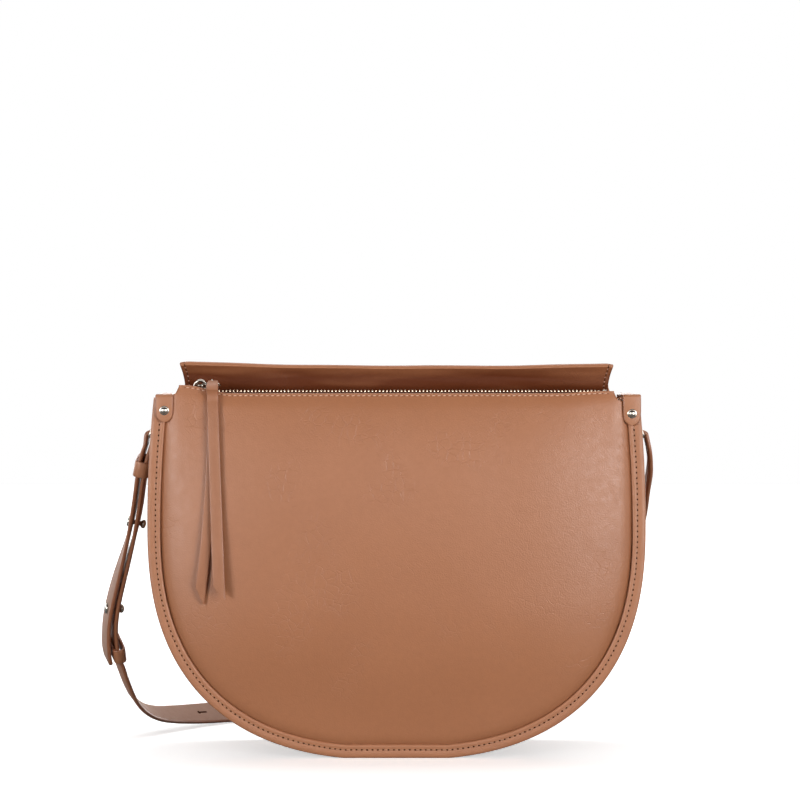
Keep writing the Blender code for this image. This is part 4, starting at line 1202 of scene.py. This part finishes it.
def make_ears():
    """The two riveted ears over the top corners."""
    deep = back_depth(SEAM_TOP)
    back_y = deep + BINDING_THICK / 2 + LEATHER / 2 + 0.0008
    for side, sign in (("left", -1), ("right", 1)):
        spots = []
        foot = EAR_TOP_Z - EAR_DROP[side]
        x = EAR_X + EAR_SHIFT[side]
        for i in range(9):
            angle = math.pi / 2 * i / 8
            spots.append((x, EAR_FRONT_Y, foot + EAR_TIP_RADIUS * (1 - math.cos(angle)),
                          max(EAR_TIP_RADIUS * math.sin(angle), 0.0007)))
        for share in (0.3, 0.6, 0.85, 1.0):
            spots.append((x, EAR_FRONT_Y - 0.0002 * math.sin(math.pi * share),
                          lerp(foot + EAR_TIP_RADIUS, EAR_TOP_Z - EAR_BEND, share), EAR_HALF))
        for i in range(1, 6):
            angle = math.pi / 2 * i / 5
            spots.append((x, EAR_FRONT_Y + EAR_BEND * (1 - math.cos(angle)),
                          EAR_TOP_Z - EAR_BEND + EAR_BEND * math.sin(angle), EAR_HALF))
        for share in (0.1, 0.3, 0.5, 0.7, 0.9):
            spots.append((BRIDGE_X, lerp(0.0020, back_y - 0.002, share),
                          EAR_TOP_Z + 0.0003 * math.sin(math.pi * share), BRIDGE_HALF))
        for i in range(1, 5):
            angle = math.pi / 2 * i / 4
            spots.append((BRIDGE_X, back_y - BRIDGE_BEND * (1 - math.sin(angle)),
                          EAR_TOP_Z - BRIDGE_BEND * (1 - math.cos(angle)), BRIDGE_HALF))
        for share in (0.3, 0.6, 0.8, 0.93, 1.0):
            z = lerp(EAR_TOP_Z - BRIDGE_BEND, EAR_TOP_Z - BACK_EAR_DROP, share)
            narrowed = math.sqrt(1.02 - max(share * 2.5 - 1.5, 0) ** 2)
            spots.append((BRIDGE_X, back_y + back_depth(z) - deep, z, BRIDGE_HALF * narrowed))
        path = [Vector((sign * x, y, z)) for x, y, z, half in spots]
        halves = [half for x, y, z, half in spots]
        wides = [Vector((1, 0, 0))] * len(path)
        piece(f"{side}_ear_strap", strip(path, wides, halves, EAR_THICK),
              [LOOKS["flesh"], LOOKS["edge"], LOOKS["strip"]], "bag", (f"{side}_ear",),
              sharp=60)
        centre = Vector((sign * (EAR_X + EAR_SHIFT[side]), EAR_FRONT_Y - 0.0009,
                         (RIVET_LOW.z + RIVET_HIGH.z) / 2 + RIVET_SHIFT[side]))
        side_rivet(f"{side}_front_rivet", centre, (0, -1, 0), f"{side}_ear_rivet")
        low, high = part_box(f"{side}_back_rivet")
        lean = REAR_RIVET_LEAN.normalized()
        side_rivet(f"{side}_rear_rivet", (low + high) / 2 - lean * 0.0006, lean, f"{side}_back_rivet")


TAB_X = 0.1431
TAB_THICK = 0.0012
TAB_ENDS = ((0.2131, 0.0040), (0.2124, 0.0056), (0.2108, 0.0068), (0.2085, 0.0070), (0.2060, 0.0070),
            (0.2030, 0.0070))
TAB_ROLL = 0.0019
TAB_ROLL_HALF = 0.0069
RING_TOP = Vector((0.1450, 0.016, 0.2005))
RING_LOW_BAR = Vector((0.1485, 0.016, 0.1925))
RING_REACH = 0.0118
RING_BEND = 0.0026
RING_WIRE = 0.0010


def ring_line():
    """The right ring's closed line: two bars and the rounded ends between them."""
    found = []
    down = (RING_LOW_BAR - RING_TOP).normalized()
    length = (RING_LOW_BAR - RING_TOP).length
    for way, start in ((1, RING_TOP), (-1, RING_LOW_BAR)):
        for i in range(9):
            y = way * lerp(RING_REACH - RING_BEND, -RING_REACH + RING_BEND, i / 8)
            found.append(start + Vector((0, y, 0)))
        for i in range(1, 6):
            angle = math.pi / 2 * i / 6
            found.append(start + Vector((0, -way * (RING_REACH - RING_BEND + RING_BEND * math.sin(angle)), 0))
                         + down * way * RING_BEND * (1 - math.cos(angle)))
        for i in range(1, 3):
            found.append(start + Vector((0, -way * RING_REACH, 0))
                         + down * way * lerp(RING_BEND, length - RING_BEND, i / 3))
        for i in range(5):
            angle = math.pi / 2 * i / 6
            found.append(start + down * way * (length - RING_BEND + RING_BEND * math.sin(angle))
                         + Vector((0, -way * (RING_REACH - RING_BEND * (1 - math.cos(angle))), 0)))
    return found


def make_anchors():
    """The posts on the gusset, the leather tabs that turn on them, and the rings in the tabs."""
    for side, sign in (("left", -1), ("right", 1)):
        low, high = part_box(f"{side}_swivel_post")
        inner, outer = (low.x, high.x) if sign > 0 else (-high.x, -low.x)
        profile = [(0, outer), (0.0012, outer - 0.0001), (0.0023, outer - 0.0004), (0.0029, outer - 0.0008),
                   (0.0030, outer - 0.00105), (0.0028, outer - 0.0012), (0.0013, outer - 0.0012),
                   (0.0013, inner), (0, inner)]
        piece(f"{side}_post", turned(profile, 24, PIVOT, (sign, 0, 0)), [LOOKS["metal"]], "bag",
              (f"{side}_swivel_post",), sharp=50)
        spots = [(TAB_X, z, half) for z, half in TAB_ENDS]
        for i in range(11):
            angle = math.pi * (1 + i / 8.5)
            spots.append((RING_TOP.x + TAB_ROLL * math.cos(angle), RING_TOP.z + TAB_ROLL * math.sin(angle),
                          TAB_ROLL_HALF))
        path = [Vector((sign * x, PIVOT.y, z)) for x, z, half in spots]
        halves = [half for x, z, half in spots]
        piece(f"{side}_tab", strip(path, [Vector((0, 1, 0))] * len(path), halves, TAB_THICK),
              [LOOKS["strip"], LOOKS["edge"], LOOKS["strip"]], "strap",
              (f"{side}_ring_tab",), sharp=60)
        bars = [Vector((sign * p.x, p.y, p.z)) for p in ring_line()]
        piece(f"{side}_wire_ring", wire(bars, RING_WIRE, 12, closed=True), [LOOKS["metal"]], "strap",
              (f"{side}_ring",))


STRAP_RUN = (
    (-0.1478, 0.016, 0.1870), (-0.1508, 0.018, 0.1775), (-0.1535, 0.021, 0.1640), (-0.1560, 0.026, 0.1480),
    (-0.1600, 0.032, 0.1300), (-0.1655, 0.039, 0.1120), (-0.1710, 0.047, 0.0940), (-0.1745, 0.055, 0.0760),
    (-0.1745, 0.064, 0.0590), (-0.1728, 0.0705, 0.0505), (-0.1660, 0.088, 0.0270), (-0.1560, 0.108, 0.0140),
    (-0.1390, 0.134, 0.0090), (-0.1120, 0.164, 0.0070), (-0.0700, 0.196, 0.0068), (-0.0280, 0.206, 0.0068),
    (0.0120, 0.200, 0.0080), (0.0480, 0.182, 0.0160), (0.0780, 0.158, 0.0320), (0.1040, 0.134, 0.0560),
    (0.1290, 0.114, 0.0860), (0.1470, 0.094, 0.1140), (0.1524, 0.064, 0.1400), (0.1532, 0.037, 0.1600),
    (0.1537, 0.021, 0.1750), (0.1524, 0.016, 0.1860))
STRAP_END = (0.1478, 0.016, 0.1830)
STRAP_HALF = 0.0090
STRAP_THICK = 0.0024
STRAP_TILT = math.radians(35)
TILTED_FROM = 13
TILTED_TO = 17
TAIL_GAPS = (0.0014, 0.0014, 0.0012, 0.0012, 0.0012, 0.0012, 0.0013, 0.0020, 0.0031, 0.0036)
STRAP_TURN = math.radians(17)
STRAP_TURN_RAMP = (3, 6, 9, 12)
RUN_STEPS = 2
FOLD_STEPS = 6
FINE_STEPS = 4
SPARE_HOLE = 25
BUTTON_NECK = 0.0006
BUTTON_BALL = 0.0028
BUTTON_RISE = 0.0016


def turn_at(place):
    """How far the strap is turned about its own line at a point of its run."""
    start, whole, end, gone = STRAP_TURN_RAMP
    return STRAP_TURN * ease((place - start) / (whole - start)) * (1 - ease((place - end) / (gone - end)))


def across_at(points, i, tilt, turn=0):
    """The way across the strap at a point of its path, and the way along it."""
    along = (points[min(i + 1, len(points) - 1)] - points[max(i - 1, 0)]).normalized()
    lean = Vector((0, math.cos(tilt), math.sin(tilt)))
    across = (lean - along * lean.dot(along)).normalized()
    side = along.cross(across)
    if side.x > 0:
        side = -side
    return (across * math.cos(turn) + side * math.sin(turn)).normalized(), along


def ring_fold(sign):
    """The strap's half turn over a ring's lower bar."""
    radius = 0.0013 + STRAP_THICK / 2
    found = []
    for i in range(FOLD_STEPS + 1):
        angle = math.pi * i / FOLD_STEPS
        found.append(Vector((sign * (RING_LOW_BAR.x + radius * math.cos(angle)), RING_LOW_BAR.y,
                             RING_LOW_BAR.z + radius * math.sin(angle))))
    return found


def strap_route():
    """The strap's centre line, its tilt at each point, and how many points its tail has."""
    run = smooth_line(STRAP_RUN, RUN_STEPS)
    given = [Vector(p) for p in STRAP_RUN]
    tail = []
    for i, gap in enumerate(TAIL_GAPS):
        wide, along = across_at(given, i, 0, turn_at(i))
        out = along.cross(wide)
        if out.x > 0:
            out = -out
        tail.append(given[i] + out * (STRAP_THICK + gap))
    tail = smooth_line(tail[::-1], RUN_STEPS)[1:]
    path = tail + ring_fold(-1) + run + ring_fold(1) + [Vector(STRAP_END)]
    first = len(tail) + FOLD_STEPS + 1
    tilts = []
    for i in range(len(path)):
        place = (i - first) / RUN_STEPS
        rise = ease((place - TILTED_FROM + 3) / 4) * ease((TILTED_TO + 5 - place) / 5)
        turn = turn_at(place if i >= first else (len(tail) - 1 - i) / RUN_STEPS)
        tilts.append((STRAP_TILT * rise if place > 0 else 0, turn))
    return path, tilts, len(tail), first


def make_strap(sizes):
    """The shoulder strap with its painted edges, from its buttoned tail to the right ring."""
    path, tilts, tail, first = strap_route()
    fine = smooth_line(path, FINE_STEPS)
    wides, halves = [], []
    for i in range(len(fine)):
        low = min(i // FINE_STEPS, len(path) - 1)
        high = min(low + 1, len(path) - 1)
        a = across_at(path, low, *tilts[low])[0]
        b = across_at(path, high, *tilts[high])[0]
        wides.append(a.lerp(b, (i % FINE_STEPS) / FINE_STEPS).normalized())
        halves.append(STRAP_HALF * min(1, 0.72 + 0.28 * math.sqrt(min(i / 5, 1))))
    bm = strip(fine, wides, halves, sizes.strap_thick)
    piece("strap_leather", bm, [LOOKS["flesh"], LOOKS["edge"], LOOKS["tan"]], "strap",
          ("shoulder_strap",), sharp=60)
    spare = first + SPARE_HOLE
    wide, along = across_at(path, spare, *tilts[spare])
    up = wide.cross(along)
    if up.z < 0:
        up = -up

    # The spare slot is a thin dark sheet on the strap's face: painted shade in the slot.
    def slot(across, length):
        run = lerp(-0.0050, 0.0032, length)
        half = 0.0014 * math.sqrt(max(1 - ((run - 0.0016) / 0.0016) ** 2, 0)) if run > 0.0012 else 0.0006
        return (path[spare] + along * -run + wide * lerp(-half, half, across)
                + up * (sizes.strap_thick / 2 + 0.00006))

    piece("spare_slot_shade", mapped(4, 24, slot), [LOOKS["hole"]], "strap", wall=(0.0001, 0))
    for name, index in (("upper", 7), ("lower", 13)):
        inner = path[first + index]
        outer = path[tail - 1 - index]
        axis = (inner - outer).normalized()
        face = ((inner - outer).length + STRAP_THICK) / 2 + 0.0003
        profile = [(0, face + BUTTON_NECK + 2 * BUTTON_RISE)]
        for i in range(1, 13):
            angle = math.pi * i / 15
            profile.append((BUTTON_BALL * math.sin(angle) ** 0.8,
                            face + BUTTON_NECK + BUTTON_RISE * (1 + math.cos(angle))))
        profile += [(0.0014, face + 0.0003), (0.0014, -face), (0.0030, -face), (0.0034, -face - 0.0003),
                    (0.0033, -face - 0.0007), (0.0026, -face - 0.0011), (0.0014, -face - 0.00125),
                    (0, -face - 0.0013)]
        piece(f"{name}_button", turned(profile, 28, (inner + outer) / 2, axis, (0, 1, 0)), [LOOKS["metal"]],
              "strap", (f"{name}_stud",), sharp=50)


KEEPER_HALF = 0.0050
KEEPER_THICK = 0.0014
KEEPER_BEND = 0.0032
KEEPER_CORNERS = ((1, 1, "side"), (-1, 1, "face"), (-1, -1, "side"), (1, -1, "face"))


def make_keepers():
    """The two leather loops on the strap: the upper one round both layers, the lower one round the inner."""
    path, tilts, tail, first = strap_route()
    for name, index, play, lift in (("upper", 1.5, 0.0004, 0.0028), ("lower", 8, 0.0002, 0.0)):
        low = first + math.floor(index * RUN_STEPS)
        inner = path[low]
        outer = path[tail - 1 - math.floor(index * RUN_STEPS)]
        along = (path[low - 1] - path[low + 1]).normalized()
        out = inner - outer
        out = (out - along * out.dot(along)).normalized()
        wide = along.cross(out)
        middle = (inner + outer) / 2
        reach = STRAP_HALF + play + KEEPER_THICK / 2
        deep = (inner - outer).length / 2 + STRAP_THICK / 2 + play + KEEPER_THICK / 2
        if name == "lower":
            middle = inner + out * 0.0009
            deep = STRAP_THICK / 2 + play + 0.0018
        bend = min(KEEPER_BEND, deep * 0.8)
        ring = []
        for a, b, next_face in KEEPER_CORNERS:
            turn = math.atan2(b, a) - math.pi / 4
            for i in range(6):
                angle = turn + math.pi / 2 * i / 5
                ring.append(middle + out * (a * (deep - bend) + bend * math.cos(angle))
                            + wide * (b * (reach - bend) + bend * math.sin(angle)))
            for share in (0.35, 0.65):
                if next_face == "side":
                    ring.append(middle + out * lerp(a, -a, share) * (deep - bend) + wide * b * reach)
                else:
                    ring.append(middle + out * a * deep + wide * lerp(b, -b, share) * (reach - bend))
        ring = [p + along * lift for p in ring]
        bm = strip(ring, [along] * len(ring), [KEEPER_HALF] * len(ring), KEEPER_THICK, closed=True)
        piece(f"{name}_loop", bm, [LOOKS["strip"], LOOKS["edge"], LOOKS["strip"]], f"{name}_keeper",
              (f"{name}_keeper",), sharp=60)


def finish_inside():
    """Gives each CAD node that stays its own finish."""
    given = dict.fromkeys(("lining_front", "lining_back", "lining_gusset", "slip_pocket"), "lining")
    given["base_stiffener"] = "board"
    for name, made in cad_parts.items():
        look = LOOKS[given.get(name, "metal")]
        for slot in made.material_slots:
            slot.material = look


# The panel and its buttons

class BAG_OT_stage(bpy.types.Operator):
    """Set the camera, lamps and floor, and mix the finishes"""
    bl_idname = "bag.stage"
    bl_label = "Stage and finishes"
    bl_options = {"REGISTER", "UNDO"}

    def execute(self, context):
        make_looks(context.scene.bag_colours)
        make_stage()
        return {"FINISHED"}


class BAG_OT_panels(bpy.types.Operator):
    """Make the front panel, the back panel and the gusset"""
    bl_idname = "bag.panels"
    bl_label = "Panels and gusset"
    bl_options = {"REGISTER", "UNDO"}

    def execute(self, context):
        make_front_panel()
        make_lip_stitches(context.scene.bag_sizes)
        make_back_panel()
        make_gusset(context.scene.bag_sizes)
        return {"FINISHED"}


class BAG_OT_seams(bpy.types.Operator):
    """Make the two bound seams and their stitches"""
    bl_idname = "bag.seams"
    bl_label = "Seams"
    bl_options = {"REGISTER", "UNDO"}

    def execute(self, context):
        make_seams(context.scene.bag_sizes)
        return {"FINISHED"}


class BAG_OT_collar(bpy.types.Operator):
    """Make the collar behind the zip"""
    bl_idname = "bag.collar"
    bl_label = "Collar"
    bl_options = {"REGISTER", "UNDO"}

    def execute(self, context):
        make_collar(context.scene.bag_sizes)
        return {"FINISHED"}


class BAG_OT_zip(bpy.types.Operator):
    """Make the zip's tapes, teeth and slider"""
    bl_idname = "bag.zip"
    bl_label = "Zip"
    bl_options = {"REGISTER", "UNDO"}

    def execute(self, context):
        make_zip(context.scene.bag_sizes)
        make_slider()
        return {"FINISHED"}


class BAG_OT_pull(bpy.types.Operator):
    """Make the leather pull"""
    bl_idname = "bag.pull"
    bl_label = "Pull"
    bl_options = {"REGISTER", "UNDO"}

    def execute(self, context):
        make_pull()
        return {"FINISHED"}


class BAG_OT_ears(bpy.types.Operator):
    """Make the ears and their rivets"""
    bl_idname = "bag.ears"
    bl_label = "Ears"
    bl_options = {"REGISTER", "UNDO"}

    def execute(self, context):
        make_ears()
        return {"FINISHED"}


class BAG_OT_anchors(bpy.types.Operator):
    """Make the posts, tabs and rings that the strap hangs from"""
    bl_idname = "bag.anchors"
    bl_label = "Anchors"
    bl_options = {"REGISTER", "UNDO"}

    def execute(self, context):
        make_anchors()
        return {"FINISHED"}


class BAG_OT_strap(bpy.types.Operator):
    """Make the shoulder strap, its studs and its keepers"""
    bl_idname = "bag.strap"
    bl_label = "Strap"
    bl_options = {"REGISTER", "UNDO"}

    def execute(self, context):
        make_strap(context.scene.bag_sizes)
        make_keepers()
        return {"FINISHED"}


class BAG_OT_inside(bpy.types.Operator):
    """Finish the lining, the pocket, the board and the small metal parts"""
    bl_idname = "bag.inside"
    bl_label = "Inside"
    bl_options = {"REGISTER", "UNDO"}

    def execute(self, context):
        finish_inside()
        return {"FINISHED"}


OPERATORS = (BAG_OT_stage, BAG_OT_panels, BAG_OT_seams, BAG_OT_collar, BAG_OT_zip, BAG_OT_pull, BAG_OT_ears,
             BAG_OT_anchors, BAG_OT_strap, BAG_OT_inside)


class BAG_PT_make(bpy.types.Panel):
    """The bag's sizes, colours and buttons"""
    bl_idname = "BAG_PT_make"
    bl_label = "Crossbody bag"
    bl_space_type = "VIEW_3D"
    bl_region_type = "UI"
    bl_category = "Bag"

    def draw(self, context):
        """Lists the sizes, the colours and the pieces."""
        for group in (context.scene.bag_sizes, context.scene.bag_colours):
            for name in group.bl_rna.properties.keys():
                if name not in ("rna_type", "name"):
                    self.layout.prop(group, name)
        for operator in OPERATORS:
            self.layout.operator(operator.bl_idname)


CLASSES = (BagSizes, BagColours, *OPERATORS, BAG_PT_make)


def register():
    """Registers the classes and the scene's settings."""
    for cls in CLASSES:
        bpy.utils.register_class(cls)
    bpy.types.Scene.bag_sizes = bpy.props.PointerProperty(type=BagSizes)
    bpy.types.Scene.bag_colours = bpy.props.PointerProperty(type=BagColours)


def unregister():
    """Takes them away again."""
    del bpy.types.Scene.bag_colours
    del bpy.types.Scene.bag_sizes
    for cls in reversed(CLASSES):
        bpy.utils.unregister_class(cls)


def main():
    """Makes the whole bag."""
    register()
    for operator in OPERATORS:
        group, name = operator.bl_idname.split(".")
        getattr(getattr(bpy.ops, group), name)()


if __name__ == "__main__":
    main()
